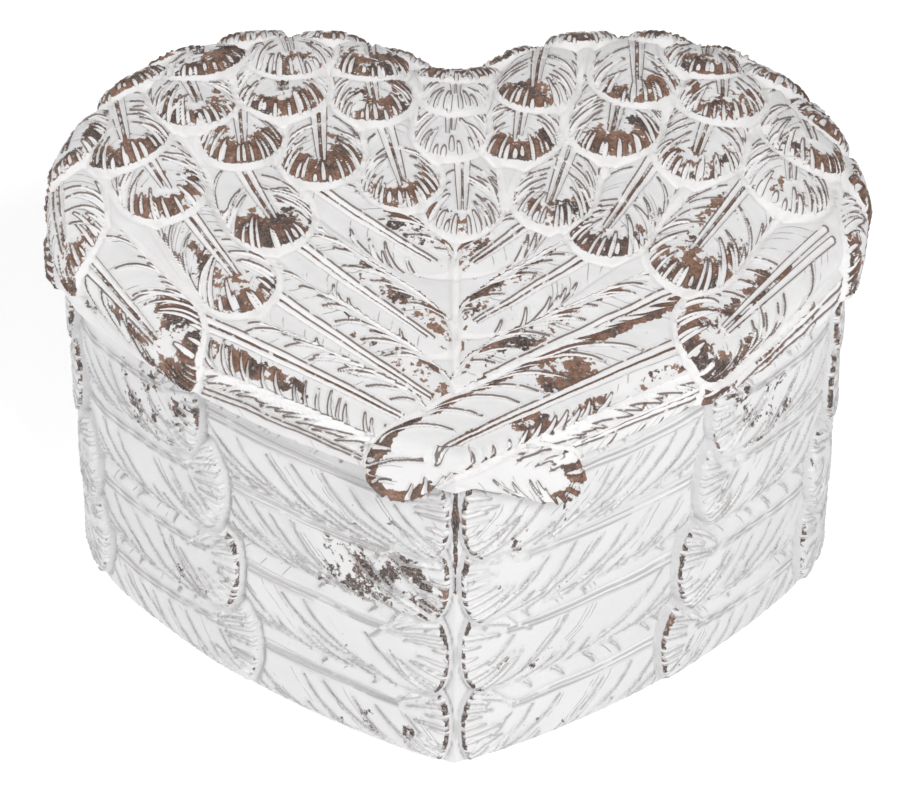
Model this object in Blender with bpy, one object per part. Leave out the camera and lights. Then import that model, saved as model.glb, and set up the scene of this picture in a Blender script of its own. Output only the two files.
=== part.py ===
"""Heart-shaped wind-up music box: a cast box with a lift-off lid, and an 18-note movement
under its compartment floor, wound by a key in a recess in the underside.

Design numbers are in millimetres and become metres when a mesh is made. +Z is up, the
heart's point faces -Y, and Z = 0 is the surface the box stands on.
"""
import math

import bmesh
import bpy
from mathutils import Vector
from mathutils.geometry import delaunay_2d_cdt

MM = 0.001
GAP = 0.3                     # between pieces that touch

# Heart outline of the box's wall. Right half: tip round, flank arc, lobe arc, notch round.
HALF_WIDTH = 60.0
LOBE_R = 34.0
FLANK_R = 135.0
FLANK_ANGLE = math.radians(-39.0)
NOTCH_R = 8.0
TIP_R = 1.2
LOBE_Y = 13.4                 # the lobes' centres, placed so that the lid is centred on Y = 0
LOBE_X = HALF_WIDTH - LOBE_R

# Box
BOX_HEIGHT = 54.0
WALL = 5.5
FLOOR_UNDER = 33.0
FLOOR_TOP = 36.0
EDGE = 0.7                    # small bevel round the wall's top and foot
BOSS_R = 4.0
BOSSES = ((40.0, 20.0), (-40.0, 20.0), (0.0, -34.0))
BOSS_HOLE_TOP = 28.0
PLATE_SCREW_R = 1.2
PLATE_SCREW_TOP = 26.0

# Lid
LID_OVERHANG = 2.9
LID_SIDE = 7.0                # height of its upright side
LID_ROUND = 20.0              # width of the rounded shoulder
LID_RISE = 23.7               # full height at the lobes
LID_FALL = 0.68               # share of that height lost at the tip
LID_FALL_POWER = 1.3
LIP_DEPTH = 4.0
LIP_OUT = -6.2
LIP_IN = -8.6
CEILING_IN = -15.0            # the hollow's sloping ceiling starts this far inside the wall
CEILING_SLOPE = 0.14
CROWN_GRID = 9.0              # spacing of the points that carry the crown's curve

# Underside
PLATE_LOW = 12.0
PLATE_TOP = 14.5
PLATE_OFFSET = -WALL - GAP
MOVEMENT_SCREWS = ((-22.0, 20.0), (-22.0, -15.0), (25.0, -15.0))

# Movement
BED_LOW = PLATE_TOP + GAP
BED_TOP = BED_LOW + 1.6
BED_X = (-26.0, 29.0)
BED_Y = (-20.0, 24.0)
DECK = BED_TOP + GAP          # what stands on the bedplate starts here
KEY_AXIS = (-13.0, 6.0)
ARBOR_R = 2.0
ARBOR_Z = (6.0, 31.8)
KEY_Z = (1.6, 9.4)
KEY_HUB_R = 3.4
KEY_WING_X = 7.6              # the wings' round centres, out from the hub
KEY_WING_Z = 5.3
KEY_WING_R = 4.3
HOUSING_R = 9.8
HOUSING_TOP = 26.0
HOUSING_WALL = 0.8

CYLINDER_Z = 24.5
CYLINDER_R = 6.4
CYLINDER_X = (2.4, 19.4)
CYLINDER_PIVOT_R = 1.0
CYLINDER_PIVOTS_X = (-2.9, 23.8)
PINION_TEETH = 12
WHEEL_TEETH = 48
WHEEL_MEAN_R = 13.4
WHEEL_TOOTH_R = (12.1, 14.6)
CROWN_MODULE = 2 * WHEEL_MEAN_R / WHEEL_TEETH
PINION_R = CROWN_MODULE * PINION_TEETH / 2
PINION_X = (-0.9, 1.6)
TOOTH_ABOVE = 0.8             # of the module, outside the pitch circle
TOOTH_BELOW = 1.1             # of the module, inside it

GEAR_TEETH = 36
GOVERNOR_PINION_TEETH = 9
FINE_MODULE = 0.35
GEAR_X = (21.5, 23.2)
GOVERNOR_TEETH = 24
GOVERNOR_R = 4.6
GOVERNOR_X = (24.2, 25.4)
GOVERNOR_Y = KEY_AXIS[1] + FINE_MODULE * (GEAR_TEETH + GOVERNOR_PINION_TEETH) / 2
WORM_R = 0.85
FLY_X = sum(GOVERNOR_X) / 2
FLY_Y = GOVERNOR_Y + GOVERNOR_R + 1.5
FLY_Z = (29.5, 31.5)
FLY_REACH = 4.4
GOVERNOR_FRAME_X = (22.4, 26.4, 27.6)   # its arms' ends, its plate's face and its back
GOVERNOR_FRAME_TOP = 29.1
GOVERNOR_WEB_TOP = 28.0
GOVERNOR_FRAME_THICK = 1.2

COMB_TEETH = 18
COMB_PITCH = 0.96
COMB_TOOTH = 0.62
COMB_THICK = 0.6
COMB_TIP_Y = KEY_AXIS[1] - CYLINDER_R - 0.5
COMB_BACK_Y = COMB_TIP_Y - 19.0
COMB_SCREWS_X = (5.4, 16.4)


# ------------------------------------------------------------------ outlines

def arc(centre, radius, start, end, steps):
    """Points on an arc, both ends included."""
    turns = [start + (end - start) * i / steps for i in range(steps + 1)]
    return [(centre[0] + radius * math.cos(a), centre[1] + radius * math.sin(a)) for a in turns]


def circle(radius, steps=24, centre=(0.0, 0.0)):
    return arc(centre, radius, 0.0, math.tau * (steps - 1) / steps, steps - 1)


def heart(offset):
    """The wall's heart outline grown by offset, anticlockwise from the tip.

    Every offset gives the same number of points, so that outlines can be lofted."""
    lobe = (LOBE_X, LOBE_Y)
    reach = FLANK_R - LOBE_R
    flank = (lobe[0] - reach * math.cos(FLANK_ANGLE), lobe[1] - reach * math.sin(FLANK_ANGLE))
    flank_r = FLANK_R + offset
    lobe_r = LOBE_R + offset
    tip_r = max(TIP_R + offset, 0.4)
    tip = (0.0, flank[1] - math.sqrt((flank_r - tip_r) ** 2 - flank[0] ** 2))
    tip_angle = math.atan2(tip[1] - flank[1], -flank[0])
    notch_rise = math.sqrt((LOBE_R + NOTCH_R) ** 2 - LOBE_X ** 2)
    notch = (0.0, LOBE_Y + notch_rise)
    notch_angle = math.atan2(-notch_rise, LOBE_X)
    right = arc(tip, tip_r, -math.pi / 2, tip_angle, 3)
    right += arc(flank, flank_r, tip_angle, FLANK_ANGLE, 7)[1:]
    right += arc(lobe, lobe_r, FLANK_ANGLE, notch_angle + math.pi, 18)[1:]
    right += arc(notch, NOTCH_R - offset, notch_angle, -math.pi / 2, 4)[1:]
    left = [(-x, y) for x, y in reversed(right[1:-1])]
    return right + left


def gear(teeth, pitch_r, module, phase=0.0, above=TOOTH_ABOVE, below=TOOTH_BELOW):
    """Outline of a spur gear with straight-sided teeth, one of them centred at phase."""
    tip_r, root_r = pitch_r + above * module, pitch_r - below * module
    step = math.tau / teeth
    points = []
    for tooth in range(teeth):
        centre = phase + tooth * step
        for radius, share in ((root_r, -0.26), (tip_r, -0.12), (tip_r, 0.12), (root_r, 0.26)):
            angle = centre + share * step
            points.append((radius * math.cos(angle), radius * math.sin(angle)))
    return points


def rounded_rectangle(x_range, y_range, radius, steps=4):
    x0, x1 = x_range[0] + radius, x_range[1] - radius
    y0, y1 = y_range[0] + radius, y_range[1] - radius
    quarter = math.pi / 2
    points = []
    for turn, corner in enumerate(((x1, y0), (x1, y1), (x0, y1), (x0, y0))):
        start = (turn - 1) * quarter
        points += arc(corner, radius, start, start + quarter, steps)
    return points


# ------------------------------------------------------------------ solids

def material(name, colour, roughness, metallic=0.0):
    shader = bpy.data.materials.new(name)
    shader.use_nodes = True
    principled = shader.node_tree.nodes["Principled BSDF"]
    principled.inputs["Base Color"].default_value = (*colour, 1.0)
    principled.inputs["Roughness"].default_value = roughness
    principled.inputs["Metallic"].default_value = metallic
    return shader


def add_object(name, bm, look, frame=None, smooth_deg=35.0):
    """Turn a bmesh in millimetres into an object, standing in frame if one is given."""
    bmesh.ops.scale(bm, vec=(MM, MM, MM), verts=bm.verts)
    bmesh.ops.recalc_face_normals(bm, faces=bm.faces)
    mesh = bpy.data.meshes.new(name)
    bm.to_mesh(mesh)
    bm.free()
    mesh.shade_smooth()
    mesh.set_sharp_from_angle(angle=math.radians(smooth_deg))
    piece = bpy.data.objects.new(name, mesh)
    piece.data.materials.append(look)
    bpy.context.collection.objects.link(piece)
    piece.parent = frame
    return piece


def frame_at(name, place, direction=(0, 0, 1)):
    """An empty at a joint, whose own Z lies along direction."""
    empty = bpy.data.objects.new(name, None)
    empty.empty_display_size = 0.01
    empty.location = Vector(place) * MM
    turn = Vector((0, 0, 1)).rotation_difference(Vector(direction))
    empty.rotation_euler = turn.to_euler()
    bpy.context.collection.objects.link(empty)
    bpy.context.view_layer.update()
    return empty


def loft(rings, bottom=True, top=True):
    """A bmesh through rings of (x, y, z) points with the same count, closed at its ends."""
    bm = bmesh.new()
    loops = [[bm.verts.new(point) for point in ring] for ring in rings]
    for low, high in zip(loops, loops[1:]):
        count = len(low)
        for i in range(count):
            j = (i + 1) % count
            bm.faces.new((low[i], low[j], high[j], high[i]))
    if bottom:
        bm.faces.new(list(reversed(loops[0])))
    if top:
        bm.faces.new(loops[-1])
    return bm, loops


def level(outline, z):
    return [(x, y, z) for x, y in outline]


def prism(name, outline, z_range, look, frame=None):
    bm, _ = loft([level(outline, z) for z in z_range])
    return add_object(name, bm, look, frame)


def turned(name, profile, look, frame=None, steps=24):
    """A solid of revolution about its own Z, from (radius, z) pairs, bottom to top."""
    bm, _ = loft([level(circle(radius, steps), z) for radius, z in profile])
    return add_object(name, bm, look, frame)


def tube(name, profile, look, frame=None, steps=24):
    """A turned solid with a hole through it: the profile is a closed loop of (radius, z)."""
    bm, loops = loft([level(circle(radius, steps), z) for radius, z in profile], False, False)
    first, last = loops[0], loops[-1]
    for i in range(steps):
        j = (i + 1) % steps
        bm.faces.new((last[i], last[j], first[j], first[i]))
    return add_object(name, bm, look, frame)


def box(name, low, high, look, frame=None):
    outline = [(low[0], low[1]), (high[0], low[1]), (high[0], high[1]), (low[0], high[1])]
    return prism(name, outline, (low[2], high[2]), look, frame)


def side_profile(name, outline, y_range, look):
    """An outline in the XZ plane, drawn out along Y."""
    bm, _ = loft([[(x, y, z) for x, z in outline] for y in y_range])
    return add_object(name, bm, look)


def combine(piece, other, operation):
    """Join other to piece, or cut it away, and leave only piece."""
    modifier = piece.modifiers.new(operation, "BOOLEAN")
    modifier.operation = operation
    modifier.solver = "EXACT"
    modifier.object = other
    bpy.context.view_layer.update()
    graph = bpy.context.evaluated_depsgraph_get()
    result = bpy.data.meshes.new_from_object(piece.evaluated_get(graph))
    piece.modifiers.clear()
    old = piece.data
    piece.data = result
    bpy.data.meshes.remove(old)
    bpy.data.objects.remove(other)
    return piece


def drill(piece, radius, start, end, steps=16):
    """A round hole from start to end, both in world millimetres."""
    start, end = Vector(start), Vector(end)
    drill_frame = frame_at("drill_frame", start, end - start)
    bit = turned("drill_bit", ((radius, 0.0), (radius, (end - start).length)),
                 piece.data.materials[0], drill_frame, steps)
    bpy.context.view_layer.update()
    combine(piece, bit, "DIFFERENCE")
    bpy.data.objects.remove(drill_frame)
    return piece


# ------------------------------------------------------------------ box and lid

def box_shell(look):
    wall_in = -WALL
    rings = [
        level(heart(wall_in), FLOOR_UNDER),
        level(heart(wall_in), 0.0),
        level(heart(-EDGE), 0.0),
        level(heart(0.0), EDGE),
        level(heart(0.0), BOX_HEIGHT - EDGE),
        level(heart(-EDGE), BOX_HEIGHT),
        level(heart(wall_in), BOX_HEIGHT),
        level(heart(wall_in), FLOOR_TOP),
    ]
    bm, _ = loft(rings)
    shell = add_object("base_shell", bm, look)
    for x, y in BOSSES:
        boss = prism("boss", circle(BOSS_R, 16, (x, y)), (BED_LOW, FLOOR_UNDER + 0.6), look)
        combine(shell, boss, "UNION")
        drill(shell, PLATE_SCREW_R + GAP, (x, y, BED_LOW - 1), (x, y, BOSS_HOLE_TOP), 12)
    return shell


def lid_height(y):
    """How far the lid's crown stands above the box at this Y."""
    y_low = min(point[1] for point in heart(LID_OVERHANG))
    y_high = max(point[1] for point in heart(LID_OVERHANG))
    back = min(max((y - y_low) / (y_high - y_low), 0.0), 1.0)
    return LID_RISE * (1.0 - LID_FALL * (1.0 - back) ** LID_FALL_POWER)


def lid_shell(look):
    """A dome over the heart, hollow underneath, with a lip that drops into the box."""
    seam = BOX_HEIGHT + GAP
    middle = 0.62 * lid_height(0.0)
    ceiling = [(x, y, seam + middle + CEILING_SLOPE * y) for x, y in heart(CEILING_IN)]
    rings = [
        ceiling,
        [(x, y, seam + 1.5 + 0.35 * lid_height(y)) for x, y in heart(LIP_IN)],
        level(heart(LIP_IN), BOX_HEIGHT - LIP_DEPTH),
        level(heart(LIP_OUT), BOX_HEIGHT - LIP_DEPTH),
        level(heart(LIP_OUT), seam),
        level(heart(LID_OVERHANG - EDGE), seam),
        level(heart(LID_OVERHANG), seam + EDGE),
    ]
    shoulder_steps = 6
    for step in range(shoulder_steps + 1):
        angle = math.pi / 2 * step / shoulder_steps
        inset = LID_ROUND * (1.0 - math.cos(angle))
        outline = heart(LID_OVERHANG - inset)
        rings.append([
            (x, y, BOX_HEIGHT + LID_SIDE + (lid_height(y) - LID_SIDE) * math.sin(angle))
            for x, y in outline
        ])
    bm, loops = loft(rings, top=False)
    crown_edge = loops[-1]
    points = [Vector(vert.co.xy) for vert in crown_edge]
    border = list(range(len(points)))
    inner = heart(LID_OVERHANG - LID_ROUND - CROWN_GRID / 2)
    for row in range(-5, 5):
        for column in range(-4, 5):
            spot = (column * CROWN_GRID, row * CROWN_GRID)
            if inside(spot, inner):
                points.append(Vector(spot))
    spots, _, faces, _, _, _ = delaunay_2d_cdt(points, [], [border], 1, 1e-4)
    verts = list(crown_edge)
    for spot in spots[len(crown_edge):]:
        verts.append(bm.verts.new((spot.x, spot.y, BOX_HEIGHT + lid_height(spot.y))))
    for face in faces:
        bm.faces.new([verts[i] for i in face])
    return add_object("lid_shell", bm, look)


def inside(point, outline):
    """Whether a point lies inside a closed outline, by counting edge crossings."""
    crossings = 0
    for (x0, y0), (x1, y1) in zip(outline, outline[1:] + outline[:1]):
        if (y0 > point[1]) != (y1 > point[1]):
            x_cross = x0 + (point[1] - y0) * (x1 - x0) / (y1 - y0)
            crossings += x_cross > point[0]
    return crossings % 2 == 1


def screw(name, x, y, head, head_z, shaft_r, shaft_end, look):
    """A round-headed screw standing on Z. head is its radius, and its point is shaft_end."""
    low, high = head_z
    if shaft_end > high:
        profile = ((head * 0.75, low), (head, low + 0.6), (head, high), (shaft_r, high),
                   (shaft_r, shaft_end))
    else:
        profile = ((shaft_r, shaft_end), (shaft_r, low), (head, low), (head, high - 0.6),
                   (head * 0.75, high))
    bm, _ = loft([level(circle(radius, 12, (x, y)), z) for radius, z in profile])
    return add_object(name, bm, look)


def underside(board, steel):
    plate = prism("bottom_plate", heart(PLATE_OFFSET), (PLATE_LOW, PLATE_TOP), board)
    key_x, key_y = KEY_AXIS
    drill(plate, 4.5, (key_x, key_y, PLATE_LOW - 1), (key_x, key_y, PLATE_TOP + 1), 24)
    head_z = (PLATE_LOW - GAP - 1.7, PLATE_LOW - GAP)
    for number, (x, y) in enumerate(BOSSES, start=1):
        drill(plate, PLATE_SCREW_R + GAP, (x, y, PLATE_LOW - 1), (x, y, PLATE_TOP + 1), 12)
        name = f"plate_screw_{number}"
        screw(name, x, y, 3.0, head_z, PLATE_SCREW_R, PLATE_SCREW_TOP, steel)
    return plate


# ------------------------------------------------------------------ movement

def bedplate(look, plate, steel):
    bed = prism("bedplate", rounded_rectangle(BED_X, BED_Y, 4.0), (BED_LOW, BED_TOP), look)
    key_x, key_y = KEY_AXIS
    drill(bed, ARBOR_R + GAP, (key_x, key_y, BED_LOW - 1), (key_x, key_y, BED_TOP + 1), 24)
    head_z = (PLATE_LOW - GAP - 1.4, PLATE_LOW - GAP)
    for number, (x, y) in enumerate(MOVEMENT_SCREWS, start=1):
        drill(bed, 1.3, (x, y, BED_LOW - 1), (x, y, BED_TOP + 1), 12)
        drill(plate, 1.3, (x, y, PLATE_LOW - 1), (x, y, PLATE_TOP + 1), 12)
        screw(f"movement_screw_{number}", x, y, 2.4, head_z, 1.0, BED_TOP, steel)
    return bed


def spring_housing(look, frame):
    """A drawn cup, open towards the bedplate, with the arbor's bore in its top."""
    inner = HOUSING_R - HOUSING_WALL
    profile = (
        (inner, DECK), (HOUSING_R, DECK), (HOUSING_R, HOUSING_TOP - 0.8),
        (HOUSING_R - 0.8, HOUSING_TOP), (ARBOR_R + GAP, HOUSING_TOP),
        (ARBOR_R + GAP, HOUSING_TOP - HOUSING_WALL), (inner, HOUSING_TOP - HOUSING_WALL),
    )
    return tube("spring_housing", profile, look, frame, 32)


def mainspring(look, frame):
    """A flat spring coiled round the arbor."""
    turns, per_turn, thick = 4.0, 16, 0.5
    r_start, r_end = ARBOR_R + 0.6, HOUSING_R - HOUSING_WALL - 0.9
    steps = int(turns * per_turn)
    inner, outer = [], []
    for i in range(steps + 1):
        angle = math.tau * i / per_turn
        radius = r_start + (r_end - r_start) * i / steps
        inner.append((radius * math.cos(angle), radius * math.sin(angle)))
        outer.append(((radius + thick) * math.cos(angle), (radius + thick) * math.sin(angle)))
    bm = bmesh.new()
    z_low, z_high = DECK + 0.8, HOUSING_TOP - HOUSING_WALL - 0.7
    sections = []
    for a, b in zip(inner, outer):
        corners = ((*a, z_low), (*b, z_low), (*b, z_high), (*a, z_high))
        sections.append([bm.verts.new(corner) for corner in corners])
    for first, second in zip(sections, sections[1:]):
        for i in range(4):
            j = (i + 1) % 4
            bm.faces.new((first[i], first[j], second[j], second[i]))
    bm.faces.new(list(reversed(sections[0])))
    bm.faces.new(sections[-1])
    return add_object("mainspring", bm, look, frame)


def winding_arbor(look, frame):
    low, high = ARBOR_Z
    profile = ((ARBOR_R - 0.4, low), (ARBOR_R, low + 0.4), (ARBOR_R, high - 0.4),
               (ARBOR_R - 0.4, high))
    return turned("winding_arbor", profile, look, frame)


def winding_key(look, frame):
    """A butterfly key: a hub on the arbor's end and two pierced wings."""
    key_x, key_y = KEY_AXIS
    low, high = KEY_Z
    profile = ((KEY_HUB_R - 0.8, low + 0.8), (KEY_HUB_R, low + 1.6), (KEY_HUB_R, high))
    hub = turned("winding_key", profile, look, frame)
    half_thick = 1.0
    sweep = math.radians(140)
    for side in (1, -1):
        round_end = arc((KEY_WING_X, KEY_WING_Z), KEY_WING_R, -sweep, sweep, 14)
        outline = [(side * 1.0, 7.6), (side * 1.0, 3.0)] + [(side * x, z) for x, z in round_end]
        bm, _ = loft([[(x, y, z) for x, z in outline] for y in (-half_thick, half_thick)])
        wing = add_object("wing", bm, look, frame)
        x = key_x + side * KEY_WING_X
        drill(wing, 1.9, (x, key_y - 2, KEY_WING_Z), (x, key_y + 2, KEY_WING_Z))
        combine(hub, wing, "UNION")
    drill(hub, ARBOR_R + GAP, (key_x, key_y, ARBOR_Z[0] - GAP), (key_x, key_y, 12.0), 24)
    return hub


def great_wheel(look, frame):
    """A crown wheel over the spring housing, with its teeth on the underside."""
    pitch_z = CYLINDER_Z + PINION_R
    tip_z = pitch_z - TOOTH_ABOVE * CROWN_MODULE
    root_z = pitch_z + (TOOTH_BELOW + 0.1) * CROWN_MODULE
    top_z = root_z + 1.4
    r_in, r_out = WHEEL_TOOTH_R
    step = math.tau / WHEEL_TEETH
    turns, heights = [], []
    for tooth in range(WHEEL_TEETH):
        centre = (tooth + 0.5) * step
        for share, z in ((-0.28, root_z), (-0.14, tip_z), (0.14, tip_z), (0.28, root_z)):
            turns.append(centre + share * step)
            heights.append(z)

    def ring(radius, zs):
        return [(radius * math.cos(a), radius * math.sin(a), z) for a, z in zip(turns, zs)]

    flat = [root_z] * len(turns)
    top = [top_z] * len(turns)
    rings = [ring(r_in - 0.4, flat), ring(r_in, heights), ring(r_out, heights), ring(r_out, top)]
    bm, _ = loft(rings)
    wheel = add_object("great_wheel", bm, look, frame)
    key_x, key_y = KEY_AXIS
    drill(wheel, ARBOR_R + GAP, (key_x, key_y, root_z - 1), (key_x, key_y, top_z + 1), 24)
    return top_z


def ratchet(steel, brass, frame, wheel_top):
    """A saw-toothed wheel on the arbor, and the click on the great wheel that it slips past."""
    low = wheel_top + GAP
    high = low + 1.1
    teeth, r_tip, r_root = 12, 4.6, 3.8
    outline = []
    for tooth in range(teeth):
        start = math.tau * tooth / teeth
        outline.append((r_root * math.cos(start), r_root * math.sin(start)))
        end = start + math.tau / teeth * 0.96
        outline.append((r_tip * math.cos(end), r_tip * math.sin(end)))
    wheel = prism("ratchet_wheel", outline, (low, high), steel, frame)
    key_x, key_y = KEY_AXIS
    drill(wheel, ARBOR_R + GAP, (key_x, key_y, low - 1), (key_x, key_y, high + 1), 20)
    pivot, pivot_r = (8.6, 3.4), 1.5
    arm = arc(pivot, pivot_r, math.radians(-80), math.radians(110), 8)
    arm += [(4.6, 3.6), (3.9, 3.5), (4.6, 2.5)]
    prism("click", arm, (low, high), brass, frame)


def cylinder_train(steel, brass, plastic, frame):
    """The pinned cylinder's solid, with the pinion that drives it and the gear it drives."""
    x_pivot, x_end = CYLINDER_PIVOTS_X
    x0, x1 = CYLINDER_X
    profile = (
        (CYLINDER_PIVOT_R, x_pivot), (CYLINDER_PIVOT_R, x0), (CYLINDER_R - 0.3, x0),
        (CYLINDER_R, x0 + 0.3), (CYLINDER_R, x1 - 0.3), (CYLINDER_R - 0.3, x1),
        (CYLINDER_PIVOT_R, x1), (CYLINDER_PIVOT_R, x_end),
    )
    turned("cylinder", profile, brass, frame, 32)
    y, z = KEY_AXIS[1], CYLINDER_Z
    bore = CYLINDER_PIVOT_R + GAP
    pinion = prism("cylinder_pinion", gear(PINION_TEETH, PINION_R, CROWN_MODULE), PINION_X,
                   steel, frame)
    drill(pinion, bore, (PINION_X[0] - 1, y, z), (PINION_X[1] + 1, y, z), 12)
    gear_r = FINE_MODULE * GEAR_TEETH / 2
    wheel = prism("cylinder_gear", gear(GEAR_TEETH, gear_r, FINE_MODULE), GEAR_X, plastic, frame)
    drill(wheel, bore, (GEAR_X[0] - 1, y, z), (GEAR_X[1] + 1, y, z), 12)


def cylinder_brackets(look):
    """The two uprights that carry the cylinder's pivots."""
    top = CYLINDER_Z + 2.3
    y0, y1 = KEY_AXIS[1] - 4.0, KEY_AXIS[1] + 4.0
    foot = DECK + 1.0
    # The upright's back, the upright's face and the foot's end.
    places = {"left": (-2.6, -1.5, 1.8), "right": (21.1, 20.0, 17.2)}
    for side, (x_back, x_face, x_foot) in places.items():
        outline = [(x_back, DECK), (x_foot, DECK), (x_foot, foot), (x_face, foot),
                   (x_face, top), (x_back, top)]
        bracket = side_profile(f"cylinder_bracket_{side}", outline, (y0, y1), look)
        low, high = min(x_back, x_face) - 1, max(x_back, x_face) + 1
        y, z = KEY_AXIS[1], CYLINDER_Z
        drill(bracket, CYLINDER_PIVOT_R + GAP, (low, y, z), (high, y, z), 16)


def comb(steel, cast):
    """Eighteen tuned teeth cut in one plate, screwed to a bar."""
    x_first = sum(CYLINDER_X) / 2 - COMB_PITCH * (COMB_TEETH - 1) / 2
    x_low = x_first - COMB_TOOTH / 2
    x_high = x_first + COMB_PITCH * (COMB_TEETH - 1) + COMB_TOOTH / 2
    outline = [(x_low, COMB_BACK_Y), (x_high, COMB_BACK_Y)]
    for tooth in reversed(range(COMB_TEETH)):
        x = x_first + tooth * COMB_PITCH
        root = COMB_TIP_Y - 12.5 + 3.5 * tooth / (COMB_TEETH - 1)
        outline += [(x + COMB_TOOTH / 2, root), (x + COMB_TOOTH / 2, COMB_TIP_Y),
                    (x - COMB_TOOTH / 2, COMB_TIP_Y), (x - COMB_TOOTH / 2, root)]
    z_low = CYLINDER_Z - COMB_THICK / 2
    z_high = CYLINDER_Z + COMB_THICK / 2
    plate = prism("comb", outline, (z_low, z_high), steel)
    bar_top = z_low - GAP
    bar = box("comb_bar", (x_low - 0.6, COMB_BACK_Y - 0.5, DECK),
              (x_high + 0.6, COMB_TIP_Y - 13.2, bar_top), cast)
    y = COMB_BACK_Y + 2.9
    for number, x in enumerate(COMB_SCREWS_X, start=1):
        drill(plate, 1.3, (x, y, z_low - 1), (x, y, z_high + 1), 12)
        drill(bar, 1.3, (x, y, DECK + 1.2), (x, y, bar_top + 1), 12)
        screw(f"comb_screw_{number}", x, y, 2.0, (z_high + GAP, z_high + GAP + 1.3), 1.0,
              DECK + 1.6, steel)


def governor(brass, steel, plastic, wheel_frame, fly_frame):
    """The air brake: a wheel on the cylinder's gear drives a worm with a two-bladed fly."""
    pinion_r = FINE_MODULE * GOVERNOR_PINION_TEETH / 2
    # One of the pinion's gaps faces the tooth of the cylinder's gear.
    pinion_phase = math.radians(10.0)
    pinion = gear(GOVERNOR_PINION_TEETH, pinion_r, FINE_MODULE, pinion_phase)
    pinion_x = (GEAR_X[0], GOVERNOR_X[0] + 0.2)
    wheel = prism("governor_wheel", pinion, pinion_x, plastic, wheel_frame)
    module = 2 * GOVERNOR_R / GOVERNOR_TEETH
    disc = prism("disc", gear(GOVERNOR_TEETH, GOVERNOR_R, module), GOVERNOR_X, plastic, wheel_frame)
    combine(wheel, disc, "UNION")
    y, z = GOVERNOR_Y, CYLINDER_Z
    drill(wheel, 0.8, (GEAR_X[0] - 1, y, z), (GOVERNOR_X[1] + 1, y, z), 12)
    x_arm, x_plate, x_back = GOVERNOR_FRAME_X
    arbor_x = (GEAR_X[0] - 0.2, x_back - GAP)
    turned("governor_arbor", [(0.5, end) for end in arbor_x], steel, wheel_frame, 12)

    low, high = DECK, GOVERNOR_FRAME_TOP
    arm = GOVERNOR_FRAME_THICK
    outline = [(x_back, low), (x_back, high), (x_arm, high), (x_arm, high - arm),
               (x_plate, high - arm), (x_plate, low + arm), (x_arm, low + arm), (x_arm, low)]
    frame_piece = side_profile("governor_frame", outline, (FLY_Y - 2.2, FLY_Y + 2.2), brass)
    web_end = (x_back, FLY_Y - 1.0, GOVERNOR_WEB_TOP)
    web = box("web", (x_plate, GOVERNOR_Y - 4.0, low), web_end, brass)
    combine(frame_piece, web, "UNION")
    drill(frame_piece, 0.8, (x_plate - 1, y, z), (x_back + 1, y, z), 12)
    drill(frame_piece, 0.9, (FLY_X, FLY_Y, low - 1), (FLY_X, FLY_Y, high + 1), 12)

    profile = ((0.6, DECK + 0.3), (0.6, 21.2), (WORM_R, 21.4), (WORM_R, 27.5), (0.6, 27.7),
               (0.6, FLY_Z[1] + 0.1))
    turned("fly_shaft", profile, steel, fly_frame, 16)
    corner = (FLY_REACH, 0.3, FLY_Z[1])
    blades = box("fly", (-FLY_REACH, -0.3, FLY_Z[0]), corner, plastic, fly_frame)
    hub = turned("hub", [(1.5, z) for z in FLY_Z], plastic, fly_frame, 16)
    combine(blades, hub, "UNION")
    drill(blades, 0.9, (FLY_X, FLY_Y, FLY_Z[0] - 1), (FLY_X, FLY_Y, FLY_Z[1] + 1), 12)


# ------------------------------------------------------------------ the whole box

def build():
    for piece in list(bpy.data.objects):
        bpy.data.objects.remove(piece)
    resin = material("resin", (0.82, 0.79, 0.75), 0.75)
    velvet = material("velvet", (0.78, 0.74, 0.70), 0.95)
    board = material("board", (0.30, 0.22, 0.17), 0.8)
    brass = material("brass", (0.80, 0.62, 0.30), 0.35, 1.0)
    steel = material("steel", (0.62, 0.62, 0.62), 0.35, 1.0)
    zinc = material("zinc", (0.50, 0.51, 0.52), 0.5, 1.0)
    plastic = material("plastic", (0.85, 0.85, 0.82), 0.5)

    box_shell(resin)
    lid_shell(resin)
    prism("compartment_liner", heart(-WALL - 0.6), (FLOOR_TOP + GAP, FLOOR_TOP + 1.4), velvet)
    plate = underside(board, steel)
    bedplate(zinc, plate, steel)

    key_frame = frame_at("key_axis", (*KEY_AXIS, 0.0))
    spring_housing(zinc, key_frame)
    mainspring(steel, key_frame)
    winding_arbor(steel, key_frame)
    winding_key(brass, key_frame)
    wheel_top = great_wheel(brass, key_frame)
    ratchet(steel, brass, key_frame, wheel_top)

    cylinder_frame = frame_at("cylinder_axis", (0, KEY_AXIS[1], CYLINDER_Z), (1, 0, 0))
    cylinder_train(steel, brass, plastic, cylinder_frame)
    cylinder_brackets(zinc)
    comb(steel, zinc)
    wheel_frame = frame_at("governor_axis", (0, GOVERNOR_Y, CYLINDER_Z), (1, 0, 0))
    fly_frame = frame_at("fly_axis", (FLY_X, FLY_Y, 0.0))
    governor(brass, steel, plastic, wheel_frame, fly_frame)
    bpy.context.view_layer.update()


build()
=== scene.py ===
"""Heart-shaped resin music box, its lid and walls carved as two folded wings: the looks,
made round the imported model.

Numbers are in millimetres, in the model's own frame, and become metres when a mesh is
made; only the floor, the lights and the camera are placed in metres. The lid and the box
each get one closed carved mesh. Its outside is worked out as a flat sheet of points first:
feathers are laid on the sheet from the lowest to the highest, and each one carves its
shaft, barbs and fringe into what it covers.
"""

import math

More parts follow.
